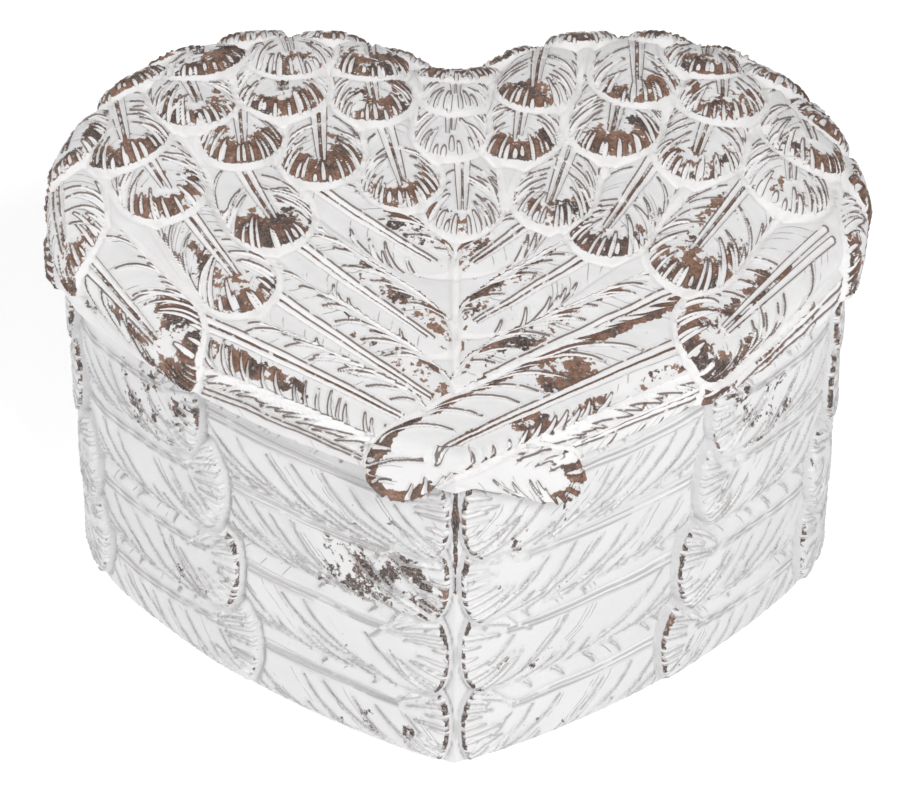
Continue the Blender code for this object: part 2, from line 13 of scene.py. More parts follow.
import bpy
import numpy as np
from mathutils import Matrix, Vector


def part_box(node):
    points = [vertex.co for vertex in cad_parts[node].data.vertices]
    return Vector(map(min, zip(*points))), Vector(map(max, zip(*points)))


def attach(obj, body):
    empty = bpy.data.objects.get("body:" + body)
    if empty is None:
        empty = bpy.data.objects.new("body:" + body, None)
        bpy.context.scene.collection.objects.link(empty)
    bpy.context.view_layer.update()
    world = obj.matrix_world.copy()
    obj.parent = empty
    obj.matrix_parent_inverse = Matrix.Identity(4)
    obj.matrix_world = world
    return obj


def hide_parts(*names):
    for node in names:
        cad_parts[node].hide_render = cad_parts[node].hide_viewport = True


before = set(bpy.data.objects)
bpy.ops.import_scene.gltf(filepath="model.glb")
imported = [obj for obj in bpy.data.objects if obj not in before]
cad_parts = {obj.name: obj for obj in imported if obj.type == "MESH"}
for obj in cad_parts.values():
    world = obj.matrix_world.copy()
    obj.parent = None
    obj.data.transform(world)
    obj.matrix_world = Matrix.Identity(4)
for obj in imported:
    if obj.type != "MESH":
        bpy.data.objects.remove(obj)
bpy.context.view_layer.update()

MM = 0.001
SEED = 11


def node_box(node):
    """A model node's lowest and highest corners, in millimetres."""
    low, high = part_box(node)
    return np.array(low) / MM, np.array(high) / MM


BOX_HIGH = node_box("base_shell")[1]
LID_LOW, LID_HIGH = node_box("lid_shell")
PAD_LOW, PAD_HIGH = node_box("compartment_liner")

# Heart outline of the box's wall: half width, lobe and flank radii, notch at the back
HALF_WIDTH = BOX_HIGH[0]
LOBE_R = 34.0
FLANK_R = 135.0
FLANK_ANGLE = math.radians(-39.0)
NOTCH_R = 8.0
LOBE_X = HALF_WIDTH - LOBE_R
LOBE_Y = BOX_HIGH[1] - LOBE_R

# Box
BOX_HEIGHT = BOX_HIGH[2]
WALL = 5.5
FLOOR_UNDER = 33.0
FLOOR_TOP = 36.0
EDGE = 0.7            # chamfer on the wall's outer edges
CHAMFER = 0.6         # and on its inner ones
BOSSES = ((40.0, 20.0), (-40.0, 20.0), (0.0, -34.0))
BOSS_R = 4.0
BOSS_HOLE_R = 1.5
BOSS_HOLE_TOP = 28.0
BOSS_LOW = node_box("bedplate")[0][2]
BOSS_ROOT = FLOOR_UNDER + 0.5

# Lid
SEAM_GAP = 0.3
SEAM = BOX_HEIGHT + SEAM_GAP
OVERHANG = LID_HIGH[0] - HALF_WIDTH
LID_SIDE = 7.0
LID_ROUND = 20.0
LID_RISE = 23.7
LID_FALL = 0.68
LID_FALL_POWER = 1.3
LIP_LOW = LID_LOW[2]
LIP_OUT = -6.2
LIP_IN = -8.6
CEILING_IN = -15.0
CEILING_SHARE = 0.62  # the hollow's height as a share of the lid's rise
CEILING_SLOPE = 0.14
COVE_LOW = 1.5        # the hollow's height beside the lip, and how much of the rise it follows
COVE_SHARE = 0.35
RIM_ROUND = 1.2

# Carving
CLEAR = 1.0           # a stroke is felt up to this far away
STROKE_DEPTH = 0.5
LIP_HEIGHT = 0.24
VALLEY_REACH = 1.35
WALL_PROUD = 1.2      # the most that the walls' feathers stand out
TIP_BACK = 1.6        # how far outside the wall the back of a hanging lid feather stays
TIP_REACH = 8.0       # the furthest below the seam that one is looked for
EDGE_BLEND = 0.4
LID_FADE = (0.2, 1.8)     # the carving fades in over this distance from a mesh's edge
WALL_FADE = (0.3, 1.8)
# Unevenness of the cast surfaces: height, size and seed of a broad and a fine ripple
LID_RIPPLES = ((0.1, 9.0, SEED), (0.035, 2.6, SEED + 2))
WALL_RIPPLES = ((0.1, 10.0, SEED + 3), (0.03, 2.8, SEED + 4))
# What a plain point carries for the materials; Sheet says what the values mean
NEUTRAL = {"stroke": CLEAR, "valley": 0.0, "worn": 0.0, "barb": 0.0, "hair": 0.0}

# How fine the carved meshes are: points along a side of the lid's grid, round the wall and
# up it, and the lines and steps of the table that the lid's surface is read from
LID_GRID = 521
WALL_COLUMNS = 1000
WALL_ROWS = 156
LID_LINES = 1441
LID_SAMPLES = 420


# ------------------------------------------------------------------ small maths

def smooth(low, high, value):
    """0 below low, 1 above high, with a smooth step between; low may be above high."""
    share = np.clip((value - low) / (high - low), 0.0, 1.0)
    return share * share * (3.0 - 2.0 * share)


def between(value, a, b, c, d):
    """0 below a and above d, 1 from b to c, and smooth between these."""
    return smooth(a, b, value) * (1 - smooth(c, d, value))


def hump(value, width):
    """1 at 0, falling away over about width on both sides."""
    return np.exp(-(value / width) ** 2)


def turn(angle):
    """The unit vector at an angle, or at each of an array of angles."""
    return np.stack([np.cos(angle), np.sin(angle)], -1)


def ripple(points, height, size, seed, waves=14):
    """Soft uneven waves of about the given height and size over a sheet."""
    rng = np.random.default_rng(seed)
    total = np.zeros(len(points))
    for _ in range(waves):
        direction = turn(rng.uniform(0, math.tau))
        step = math.tau / (size * rng.uniform(0.7, 1.7))
        total += np.sin(points @ direction * step + rng.uniform(0, math.tau))
    return height * total / math.sqrt(waves)


# ------------------------------------------------------------------ heart outline

def heart_arcs(offset):
    """Right half of the heart, grown by offset: (centre, radius, first angle, last angle)."""
    reach = FLANK_R - LOBE_R
    lobe = np.array([LOBE_X, LOBE_Y])
    flank = lobe - reach * turn(FLANK_ANGLE)
    notch = np.array([0.0, LOBE_Y + math.sqrt((LOBE_R + NOTCH_R) ** 2 - LOBE_X ** 2)])
    flank_start = -math.acos(-flank[0] / (FLANK_R + offset))
    lobe_end = math.atan2(notch[1] - LOBE_Y, -LOBE_X)
    return (
        (flank, FLANK_R + offset, flank_start, FLANK_ANGLE),
        (lobe, LOBE_R + offset, FLANK_ANGLE, lobe_end),
        (notch, NOTCH_R - offset, -math.pi / 2, lobe_end - math.pi),
    )


def heart_points(offset, steps=400):
    """Points round the heart, anticlockwise from its front point."""
    flank, lobe, (notch, notch_radius, first, last) = heart_arcs(offset)
    arcs = ((*flank, steps), (*lobe, steps), (notch, notch_radius, last, first, steps // 4))
    right = np.vstack([centre + radius * turn(np.linspace(start, end, count))
                       for centre, radius, start, end, count in arcs])
    return np.vstack([right, right[::-1] * (-1.0, 1.0)])


def heart_radius(offset, angles):
    """Distance from the origin to the outline at each angle."""
    x, y = heart_points(offset).T
    around = np.arctan2(y, x)
    order = np.argsort(around)
    return np.interp(angles, around[order], np.hypot(x, y)[order], period=math.tau)


def arc_distance(points, arc):
    centre, radius, *ends = arc
    start, end = sorted(ends)
    rel = points - centre
    angle = np.arctan2(rel[..., 1], rel[..., 0])
    from_arc = np.abs(np.linalg.norm(rel, axis=-1) - radius)
    from_ends = [np.linalg.norm(rel - radius * turn(a), axis=-1) for a in ends]
    beside = (angle >= start) & (angle <= end)
    return np.where(beside, from_arc, np.minimum(*from_ends))


def edge_distance(points, offset, softness=6.0):
    """Distance inwards from the outline, with the ridge between the two halves rounded."""
    arcs = heart_arcs(offset)
    right, left = (np.min([arc_distance(points * (side, 1.0), arc) for arc in arcs], axis=0)
                   for side in (1.0, -1.0))
    share = np.clip(0.5 + 0.5 * (left - right) / softness, 0.0, 1.0)
    return left * (1 - share) + right * share - softness * share * (1 - share)


# ------------------------------------------------------------------ sheets and feathers

class Sheet:
    """A surface laid flat: where its points are, and what is carved at each of them.

    stroke is the distance to the nearest carved stroke's edge, below 0 inside it; valley
    is 1 in the dip round a feather, filled with white paint on the lid and with painted
    shade on the box; worn says how easily the paint is gone;
    barb counts along the feather's hairlines, and hair is 0 where none may show.
    """

    def __init__(self, at):
        self.at = at
        self.height = np.zeros(len(at))
        for key, neutral in NEUTRAL.items():
            setattr(self, key, np.full(len(at), neutral))
        self.barb = at[:, 0].copy()


def stroke_line(start, middle, end, steps=6):
    """Points along a curve that leaves start towards middle and arrives at end."""
    t = np.linspace(0.0, 1.0, steps)[:, None]
    start, middle, end = np.array(start), np.array(middle), np.array(end)
    return (1 - t) ** 2 * start + 2 * t * (1 - t) * middle + t * t * end


def stroke_distance(points, line, half_width, taper_start, taper_end):
    """Signed distance from each point to a stroke that narrows towards its ends."""
    steps = len(line) - 1
    best = np.full(len(points), CLEAR)
    reach = CLEAR + half_width
    low, high = line.min(0) - reach, line.max(0) + reach
    near = np.nonzero(((points > low) & (points < high)).all(1))[0]
    spots = points[near]
    for i in range(steps):
        along = line[i + 1] - line[i]
        rel = spots - line[i]
        share = np.clip(rel @ along / (along @ along), 0.0, 1.0)
        away = np.linalg.norm(rel - share[:, None] * along, axis=1)
        t = (i + share) / steps
        narrow = 1 - taper_start * (1 - t) ** 2 - taper_end * t ** 2
        best[near] = np.minimum(best[near], away - half_width * narrow)
    return best


class Feather:
    """A feather by its tip, heading in degrees, length and width.

    Its own frame runs along the shaft from the root, and across it to the left. worn says
    how much it is rubbed, and speckled how strong its patch of fine rubbing is. bend moves
    the tip sideways, and upper is the side (+1 or -1) with the hatched edge. shaft, how
    far across the shaft lies, and cap, the length of the rounded tip, are given as shares
    of the half width.
    """

    def __init__(self, tip, heading, length, width, worn, bend=0.0, upper=1, shaft=0.0,
                 cap=1.2):
        self.direction = turn(math.radians(heading))
        self.left = np.array([-self.direction[1], self.direction[0]])
        self.root = np.array(tip) - self.direction * length
        self.length, self.half = length, width / 2
        self.worn, self.bend, self.upper = worn, bend, upper
        self.speckled = 0.0
        self.shaft = shaft * self.half
        self.cap = min(cap * self.half, 0.6 * length)
        self.phase = 13.7 * (tip[0] + 0.31 * tip[1])

    def local(self, points):
        rel = points - self.root
        along = rel @ self.direction
        across = rel @ self.left
        share = np.clip(along / self.length, 0.0, 1.2)
        return along, across + self.bend * (share ** 2 - 1.0)

    def inside(self, along, across):
        """About how far a point is inside the outline; negative outside."""
        over = np.maximum(along - (self.length - self.cap), 0.0) / self.cap
        narrow = 1 - 0.22 * np.clip(1 - along / self.length, 0.0, 1.0) ** 2
        half = self.half * narrow
        return half * (1 - np.hypot(across / half, over))


# A stroke is its line, half width, and how much it narrows at its start and at its end

def shaft_strokes(feather, rng, apart, last, width):
    """The shaft: two strokes that draw together towards the tip."""
    end = feather.length * last
    strokes = []
    for side in (-apart, apart):
        start = (-2.0, feather.shaft + side)
        stop = (end + rng.uniform(-0.8, 0.8), feather.shaft + 0.5 * side)
        middle = (0.5 * end, feather.shaft + 0.8 * side + rng.uniform(-0.15, 0.15))
        strokes.append((stroke_line(start, middle, stop, 10), width, 0.0, 0.65))
    return strokes


def fringe(feather, rng, spread, spacing, run, width=(0.3, 0.46)):
    """Short strokes round the tip, which start at its edge and run in along the barbs."""
    half, cap = feather.half, feather.cap
    count = int(math.radians(2 * spread) * (half + cap) / 2 / spacing)
    strokes = []
    for i in range(count):
        phi = math.radians(spread) * (2 * (i + rng.uniform(0.05, 0.95)) / count - 1)
        edge = np.array([feather.length - cap + cap * math.cos(phi), half * math.sin(phi)])
        length = rng.uniform(*run) * (1 + 1.6 * math.sin(phi) ** 2)
        start = edge + rng.uniform(-1.0, 0.3) * turn(0.3 * phi)
        middle = start - 0.5 * length * turn(0.3 * phi)
        end = middle - 0.5 * length * turn(0.7 * phi)
        strokes.append((stroke_line(start, middle, end), rng.uniform(*width), 0.2, 0.7))
    return strokes


def barbs(feather, rng, side, spacing, slant, width, keep, first=0.1, last=0.9, reach=1.0):
    """Long strokes from beside the shaft out to one edge, leaning towards the tip."""
    strokes = []
    along = feather.length * first
    room = (feather.half - side * feather.shaft) * reach
    while along < feather.length * last:
        along += spacing * rng.uniform(0.7, 1.3)
        if rng.random() > keep:
            continue
        begin = rng.uniform(1.2, 2.4)
        lean = slant * rng.uniform(0.8, 1.2)
        start = (along, feather.shaft + side * begin)
        out = room * rng.uniform(0.85, 1.05)
        middle = (along + lean * 0.3, feather.shaft + side * (begin + (out - begin) * 0.72))
        end = (along + lean, feather.shaft + side * out)
        half_width = width * rng.uniform(0.8, 1.2)
        strokes.append((stroke_line(start, middle, end), half_width, 0.8, 0.5))
    return strokes


def hatch(feather, rng, side, spacing, run, width, first=0.06, last=1.0, depth=(1.4, 2.8)):
    """Short strokes along one edge, nearly in line with the shaft."""
    strokes = []
    along = feather.length * first
    edge = side * (feather.half + 0.3)
    while along < feather.length * last - 0.5 * feather.cap:
        along += spacing * rng.uniform(0.75, 1.3)
        length = run * rng.uniform(0.7, 1.4)
        drop = side * rng.uniform(*depth)
        middle = (along - length * 0.55, edge - drop * 0.3)
        end = (along - length, edge - drop)
        half_width = width * rng.uniform(0.8, 1.2)
        strokes.append((stroke_line((along, edge), middle, end), half_width, 0.1, 0.8))
    return strokes


def form(base, rise, power=1.0, tilt=0.0, crown=0.0, rounding=0.5, reach=1.6):
    """A rule for how high a feather stands.

    It starts at base and rises by rise towards the tip, slowly at first if power is above
    1. It tilts up towards its upper side, has a crown along its middle, and is rounded
    off within reach of its edge.
    """

    def height_of(feather, along, across, inside):
        share = np.clip(along / feather.length, 0.0, 1.0)
        aside = across / feather.half
        edge = 1 - np.clip(inside / reach, 0.0, 1.0)
        sloped = base + rise * share ** power + tilt * feather.upper * aside
        return sloped - crown * aside ** 2 - rounding * edge ** 2

    return height_of


def lay(sheet, feather, strokes, height_of, worn_of, valley_reach=VALLEY_REACH, dip_from=0.0,
        dip_depth=0.35):
    """Lays one feather over whatever is on the sheet already.

    Its dip starts at the share dip_from of its length, is valley_reach wide, and sinks
    dip_depth into what lies beside the feather.
    """
    middle = feather.root + feather.direction * feather.length / 2
    reach = feather.length / 2 + feather.half + abs(feather.bend) + 3 * VALLEY_REACH
    near = np.nonzero(np.linalg.norm(sheet.at - middle, axis=1) < reach)[0]
    along, across = feather.local(sheet.at[near])
    inside = feather.inside(along, across)

    # the dip outside the edge: white paint on the lid, painted shade on the box
    ramp = np.clip(0.5 - inside / (2 * EDGE_BLEND), 0.0, 1.0)
    dip = ramp * (1 - smooth(0.45 * valley_reach, valley_reach, -inside))
    dip_fade = smooth(dip_from, dip_from + 0.35 * (1 - dip_from), along / feather.length)
    dip_fade = dip_fade * smooth(-3.0, 1.0, along)
    older = np.maximum(sheet.valley[near], dip * dip_fade)
    sheet.valley[near] = np.where(inside < 0, older, ramp * dip_fade)

    # what is carved on the feather, kept a little past its edge for the shading
    own = inside > -2 * EDGE_BLEND
    spots = np.column_stack([along, across])[own]
    keep = near[own]
    sheet.stroke[keep] = CLEAR
    for stroke in strokes:
        sheet.stroke[keep] = np.minimum(sheet.stroke[keep], stroke_distance(spots, *stroke))
    sheet.worn[keep] = worn_of(feather, along[own], across[own], inside[own])
    offset = np.abs(across[own] - feather.shaft) / feather.half
    sheet.barb[keep] = along[own] - 0.9 * feather.half * offset ** 1.6 + feather.phase
    sheet.hair[keep] = smooth(0.2, 1.0, inside[own]) * smooth(0.12, 0.25, offset)

    cover = smooth(-2.2 * EDGE_BLEND, 0.8 * EDGE_BLEND, inside)
    level = height_of(feather, along, across, inside)
    below = sheet.height[near] - dip_depth * dip * dip_fade
    sheet.height[near] = below * (1 - cover) + level * cover


def carve(sheet):
    """Cuts the strokes into the finished heights."""
    free = 1 - smooth(0.45, 0.75, sheet.valley)
    lip = smooth(0.55, 0.3, sheet.stroke) * smooth(-0.05, 0.25, sheet.stroke)
    cut = smooth(0.25, -0.3, sheet.stroke)
    sheet.height += (LIP_HEIGHT * lip - STROKE_DEPTH * cut) * free


# ------------------------------------------------------------------ the lid's feathers

COVERT_FORM = form(0.1, 1.4, power=1.5, crown=0.6, rounding=0.75, reach=2.4)
FLIGHT_FORM = form(0.15, 0.3, tilt=0.55, rounding=0.45)
LONG_FORM = form(0.7, 0.9, crown=0.4, rounding=0.7, reach=1.8)


def covert_worn(feather, along, across, inside):
    """Rubbed in a crescent inside the tip, beside the shaft, and on long ones in a patch."""
    share = along / feather.length
    aside = across / feather.half
    lean = math.sin(feather.phase) * aside
    deep = 7.4 + 2.2 * math.sin(2.3 * feather.phase)
    crescent = (1 - smooth(1.6, deep + 1.6 * lean, inside)) * smooth(0.35, 0.75, share)
    crescent = 0.98 * crescent * (1 + 0.3 * lean) * (1 - 0.3 * aside ** 2)
    beside_shaft = 0.72 * hump(across, 1.5) * smooth(0.05, 0.3, share)
    patch = 0.78 * hump(across + 1.8, 2.0) * between(share, 0.2, 0.4, 0.78, 0.92)
    patch = patch * smooth(24.0, 28.0, feather.length)
    return 0.84 * feather.worn * np.max([crescent, beside_shaft, patch], axis=0)


def lay_covert(sheet, feather, rng):
    strokes = shaft_strokes(feather, rng, apart=0.06 * feather.half + 0.5, last=0.76, width=0.46)
    strokes += fringe(feather, rng, spread=100, spacing=1.55, run=(0.9, 4.2), width=(0.24, 0.42))
    for side in (-1, 1):
        strokes += barbs(feather, rng, side, spacing=2.8, slant=0.9 * feather.half, width=0.26,
                         keep=0.6, first=0.05, last=0.55)
        strokes += hatch(feather, rng, side, spacing=1.7, run=4.2, width=0.25, first=0.25,
                         last=0.85, depth=(0.8, 1.8))
    lay(sheet, feather, strokes, COVERT_FORM, covert_worn)


def flight_worn(feather, along, across, _):
    """Rubbed along the upper edge, beside the shaft, and over the upper half."""
    share = along / feather.length
    from_edge = feather.half - feather.upper * across
    hatched = 0.85 * (1 - smooth(0.8, 3.4, from_edge)) * smooth(0.1, 0.35, share)
    offset = across - feather.shaft
    beside_shaft = 0.62 * hump(offset, 0.9)
    vane = 0.62 * smooth(0.3, 1.5, feather.upper * offset) * smooth(0.2, 0.6, share)
    return feather.worn * np.max([hatched, beside_shaft, vane], axis=0)


def lay_flight(sheet, feather, rng):
    upper = feather.upper
    strokes = shaft_strokes(feather, rng, apart=0.62, last=0.9, width=0.4)
    strokes += hatch(feather, rng, upper, spacing=1.7, run=7.0, width=0.34, first=0.08,
                     depth=(1.3, 3.0))
    strokes += barbs(feather, rng, upper, spacing=5.5, slant=9.0, width=0.32, keep=0.8)
    strokes += barbs(feather, rng, -upper, spacing=5.0, slant=6.0, width=0.24, keep=0.4)
    strokes += hatch(feather, rng, -upper, spacing=1.6, run=4.5, width=0.26, first=0.5,
                     depth=(1.2, 2.6))
    lay(sheet, feather, strokes, FLIGHT_FORM, flight_worn, valley_reach=0.8, dip_from=0.8)


def band_worn(feather, along, across, _):
    """Rubbed between the short strokes of its lower half, most towards the root."""
    share = along / feather.length
    lower = -feather.upper * (across - feather.shaft)
    rubbed = between(lower, 0.4, 2.6, 3.4, 6.4) * between(share, 0.0, 0.3, 0.45, 0.8)
    rubbed = rubbed * (0.78 + 0.16 * np.sin(0.42 * along) * np.sin(1.1 * along + across))
    return feather.worn * np.maximum(rubbed, 0.6 * hump(lower, 0.9))


def lay_band(sheet, feather, rng):
    upper = feather.upper
    strokes = shaft_strokes(feather, rng, apart=0.62, last=0.95, width=0.4)
    strokes += barbs(feather, rng, -upper, spacing=2.0, slant=4.4, width=0.3, keep=0.85,
                     first=0.05, last=0.85, reach=0.9)
    strokes += hatch(feather, rng, upper, spacing=1.9, run=5.5, width=0.28)
    strokes += barbs(feather, rng, upper, spacing=6.0, slant=7.0, width=0.24, keep=0.7)
    lay(sheet, feather, strokes, FLIGHT_FORM, band_worn, valley_reach=0.8, dip_from=0.8)


def crossing_worn(feather, along, across, inside):
    """Rubbed round the tip, along the upper edge, and in a patch on each side of the shaft."""
    share = along / feather.length
    above = feather.upper * (across - feather.shaft)
    tip = (1 - smooth(1.6, 3.2, inside)) * smooth(0.8, 0.9, share)
    hatched = 0.88 * (1 - smooth(1.0, 3.2, inside)) * smooth(0.5, 2.0, above)
    upper = between(share, 0.26, 0.38, 0.42, 0.56) * smooth(0.2, 0.8, above)
    lower = between(share, 0.47, 0.53, 0.58, 0.65) * between(above, -4.6, -3.4, -1.0, -0.3)
    beside_shaft = 0.8 * hump(above, 0.9) * (1 - smooth(0.7, 0.8, share))
    dashes = 0.45 * (1 - smooth(0.6, 2.0, inside))
    parts = [tip, hatched, 0.66 * upper, 0.741 * lower, beside_shaft, dashes]
    return feather.worn * np.max(parts, axis=0)


def lay_crossing(sheet, feather, rng):
    upper = feather.upper
    strokes = shaft_strokes(feather, rng, apart=0.7, last=0.8, width=0.44)
    strokes += fringe(feather, rng, spread=85, spacing=2.2, run=(0.8, 1.8))
    strokes += hatch(feather, rng, upper, spacing=1.7, run=6.5, width=0.34, first=0.1, last=0.95)
    strokes += barbs(feather, rng, upper, spacing=5.0, slant=10.0, width=0.32, keep=0.9)
    strokes += hatch(feather, rng, -upper, spacing=2.4, run=2.8, width=0.34, first=0.35,
                     last=0.9, depth=(1.0, 2.0))
    lay(sheet, feather, strokes, LONG_FORM, crossing_worn, valley_reach=1.2, dip_from=0.5)


def under_worn(feather, along, _, inside):
    share = along / feather.length
    return feather.worn * (1 - smooth(1.8, 5.0, inside)) * smooth(0.66, 0.86, share)


def lay_under(sheet, feather, rng):
    strokes = fringe(feather, rng, spread=80, spacing=1.9, run=(1.6, 3.6))
    for side in (-1, 1):
        strokes += barbs(feather, rng, side, spacing=3.0, slant=6.0, width=0.28, keep=0.9,
                         first=0.3, last=0.8)
    lay(sheet, feather, strokes, LONG_FORM, under_worn, valley_reach=1.2, dip_from=0.5)


# Flight feathers: shaft's tip (x, y), heading, length, width, rubbed share. The front ones
# lie over the ones behind them.
LEFT_FLIGHT = (
    ((-1, -15), -45, 27, 9.5, 0.75),
    ((-1, -31), -47, 33, 10.0, 0.8),
    ((-1, -42), -44, 38, 10.5, 0.7),
)
BAND = ((-5, -47.5), -35, 44, 12.0, 1.0)
LEFT_RIM = ((-9, -54), -33, 46, 8.5, 0.35)
RIGHT_RIM = ((9, -54), -147, 46, 8.5, 0.3)
RIGHT_FLIGHT = (
    ((1, -15), -129, 22, 8.5, 0.8),
    ((1, -27), -137, 31, 9.5, 0.85),
    ((1, -38), -145, 42, 10.5, 0.8),
)
# The two long feathers at the front: their tips hang a little below the lid's rim
CROSSING_FEATHER = Feather((-13.4, -55.5), -147, 60, 12.3, 1.0, 0.0, -1, 0.36, 1.1)
UNDER_FEATHER = Feather((22.8, -53.0), -2, 28, 10.0, 1.0, 0.0, 1, 0.1, 1.2)
# Coverts, row by row from the front: tip (x, y), heading, width, rubbed share
PLACED_COVERTS = (
    # on the left
    ((-40.5, -30), -56, 13.5, 0.9), ((-29, -22), -60, 11, 0.75), ((-25, -10), -66, 12.5, 1.0),
    ((-7, -2), -78, 11.5, 0.85), ((-59, -8), -80, 14, 0.75), ((-41, -3), -64, 13, 0.8),
    ((-20, 3), -86, 12, 1.0), ((-32, 7), -84, 11.5, 0.95), ((-49, 8), -77, 12.5, 0.9),
    ((-38, 16), -71, 11.5, 0.78), ((-12, 17), -82, 11, 0.82), ((-26, 18), -83, 12.5, 0.88),
    ((-60, 12), -84, 12, 0.7),
    # on the right
    ((43.5, -36), -124, 14, 0.72), ((35, -30), -128, 13.5, 0.88),
    ((31.5, -17), -121, 13, 0.86), ((20, -12), -116, 11.5, 0.9),
    ((13, -6), -104, 11.5, 0.75), ((65, -4), -100, 13, 0.8), ((50, -1), -94, 13.5, 0.6),
    ((35, 4), -106, 12.5, 0.84), ((23, 9), -100, 12.5, 0.86), ((9, 8), -96, 11, 0.9),
    ((55, 9), -84, 13, 0.75), ((41, 17), -92, 12, 0.76), ((28, 21), -92, 12, 0.8),
    ((12, 20), -95, 11, 0.85),
    # along the middle
    ((1, -8), -90, 11, 0.6), ((-1, 9), -92, 10, 0.3), ((0, 19), -90, 9, 0.3),
)
# Rows by rule fill the rest of the lid, every other one shifted by half a column. Where
# the photo shows the coverts, in front of PLACED_BACK and within PLACED_SIDE, none is added.
ROWS = 10
FIRST_ROW = -10.0
ROW_STEP = 9.6
COLUMNS = range(-6, 7)
COLUMN_STEP = 12.8
FILL_GAP = 8.6        # the least distance from an added covert's tip to any other
LID_REACH = 72.0      # no column lies further to the side than this
PLACED_BACK = 16.0
PLACED_SIDE = 52.0


def lid_coverts():
    """Every covert from front to back: the placed ones, and the ones added by rule."""
    placed = list(PLACED_COVERTS)
    spots = [np.array(tip) for tip, _, _, _ in placed]
    rng = np.random.default_rng(SEED)
    for row in range(ROWS):
        y = FIRST_ROW + row * ROW_STEP
        for column in COLUMNS:
            x = (column + 0.5 * (row % 2)) * COLUMN_STEP
            tip = np.array([x, y]) + rng.uniform(-1.0, 1.0, 2)
            if abs(x) > LID_REACH or (y < PLACED_BACK and abs(x) < PLACED_SIDE):
                continue
            if min(np.linalg.norm(tip - spot) for spot in spots) < FILL_GAP:
                continue
            spots.append(tip)
            heading = -90.0 - 0.22 * x + rng.uniform(-5, 5)
            placed.append((tuple(tip), heading, rng.uniform(11.5, 13.0),
                           rng.uniform(0.65, 0.9)))
    return sorted(placed, key=lambda covert: covert[0][1])


def carve_lid(sheet):
    rng = np.random.default_rng(SEED)
    for row in LEFT_FLIGHT:
        lay_flight(sheet, Feather(*row, -1.5, 1, -0.05, 2.6), rng)
    lay_band(sheet, Feather(*BAND, 0.0, 1, 0.25, 1.5), rng)
    lay_flight(sheet, Feather(*LEFT_RIM, 0.0, 1, 0.2, 1.5), rng)
    lay_flight(sheet, Feather(*RIGHT_RIM, 0.0, -1, -0.2, 1.5), rng)
    for row in RIGHT_FLIGHT:
        lay_flight(sheet, Feather(*row, 1.5, -1, 0.05, 2.6), rng)
    lay_under(sheet, UNDER_FEATHER, rng)
    lay_crossing(sheet, CROSSING_FEATHER, rng)
    # coverts are a little broader at the back, and the ones at the front are longer
    for tip, heading, width, worn in lid_coverts():
        width = width * (1.06 + 0.1 * smooth(0.0, 12.0, tip[1]))
        length = 1.3 * width + 5.0 + 10.0 * smooth(-8.0, -20.0, tip[1])
        lay_covert(sheet, Feather(tip, heading, length, width, worn), rng)
    # the groove where the two wings meet
    x, y = sheet.at.T
    groove = hump(x, 0.7) * between(y, -38, -32, -12, -8)
    sheet.height -= 0.8 * groove
    sheet.valley = np.maximum(sheet.valley, smooth(0.45, 0.75, groove))
    carve(sheet)


# ------------------------------------------------------------------ the box's feathers

WALL_FORM = form(-0.4, 1.6, power=2.0, tilt=-0.25)
COLUMN_TIPS = (0.7, 41.0, 75.0, 109.0, 141.0)     # along the wall from the front point
COLUMN_REACH = (50.0, 42.0, 42.0, 40.0, 36.0)
ROW_TOPS = (55.5, 43.0, 29.5, 15.5)
ROW_TALL = 15.5
ROW_DRIFT = 2.9                                   # the tips of a lower row lie further forward
# Feathers with a patch of fine rubbing: (column, side, row), and how strong it is
SPECKLED = {(0, -1, 1): 0.62, (1, -1, 0): 0.52, (1, 1, 0): 0.52}


def wall_worn(feather, along, across, inside):
    share = along / feather.length
    above = feather.upper * across
    tip = (1 - smooth(0.2, 2.2, inside)) * smooth(0.86, 0.97, share)
    vane = 0.42 * smooth(0.45, 0.7, share) * smooth(0.0, 2.0, -above)
    speckled = feather.speckled * smooth(0.42, 0.62, share) * smooth(5.5, 3.5, above)
    return np.maximum(feather.worn * np.maximum(tip, vane), speckled)


def lay_wall(sheet, feather, rng, valley_reach):
    upper = feather.upper
    strokes = shaft_strokes(feather, rng, apart=0.7, last=0.84, width=0.34)
    strokes += barbs(feather, rng, -upper, spacing=4.6, slant=13.0, width=0.24, keep=0.85,
                     first=0.0, last=0.8)
    strokes += barbs(feather, rng, upper, spacing=4.6, slant=3.6, width=0.22, keep=0.7)
    strokes += hatch(feather, rng, -upper, spacing=3.6, run=5.0, width=0.22, first=0.2,
                     last=0.85, depth=(1.6, 3.6))
    strokes += fringe(feather, rng, spread=80, spacing=1.3, run=(1.6, 5.6), width=(0.24, 0.4))
    lay(sheet, feather, strokes, WALL_FORM, wall_worn, valley_reach, dip_from=0.8, dip_depth=0.6)


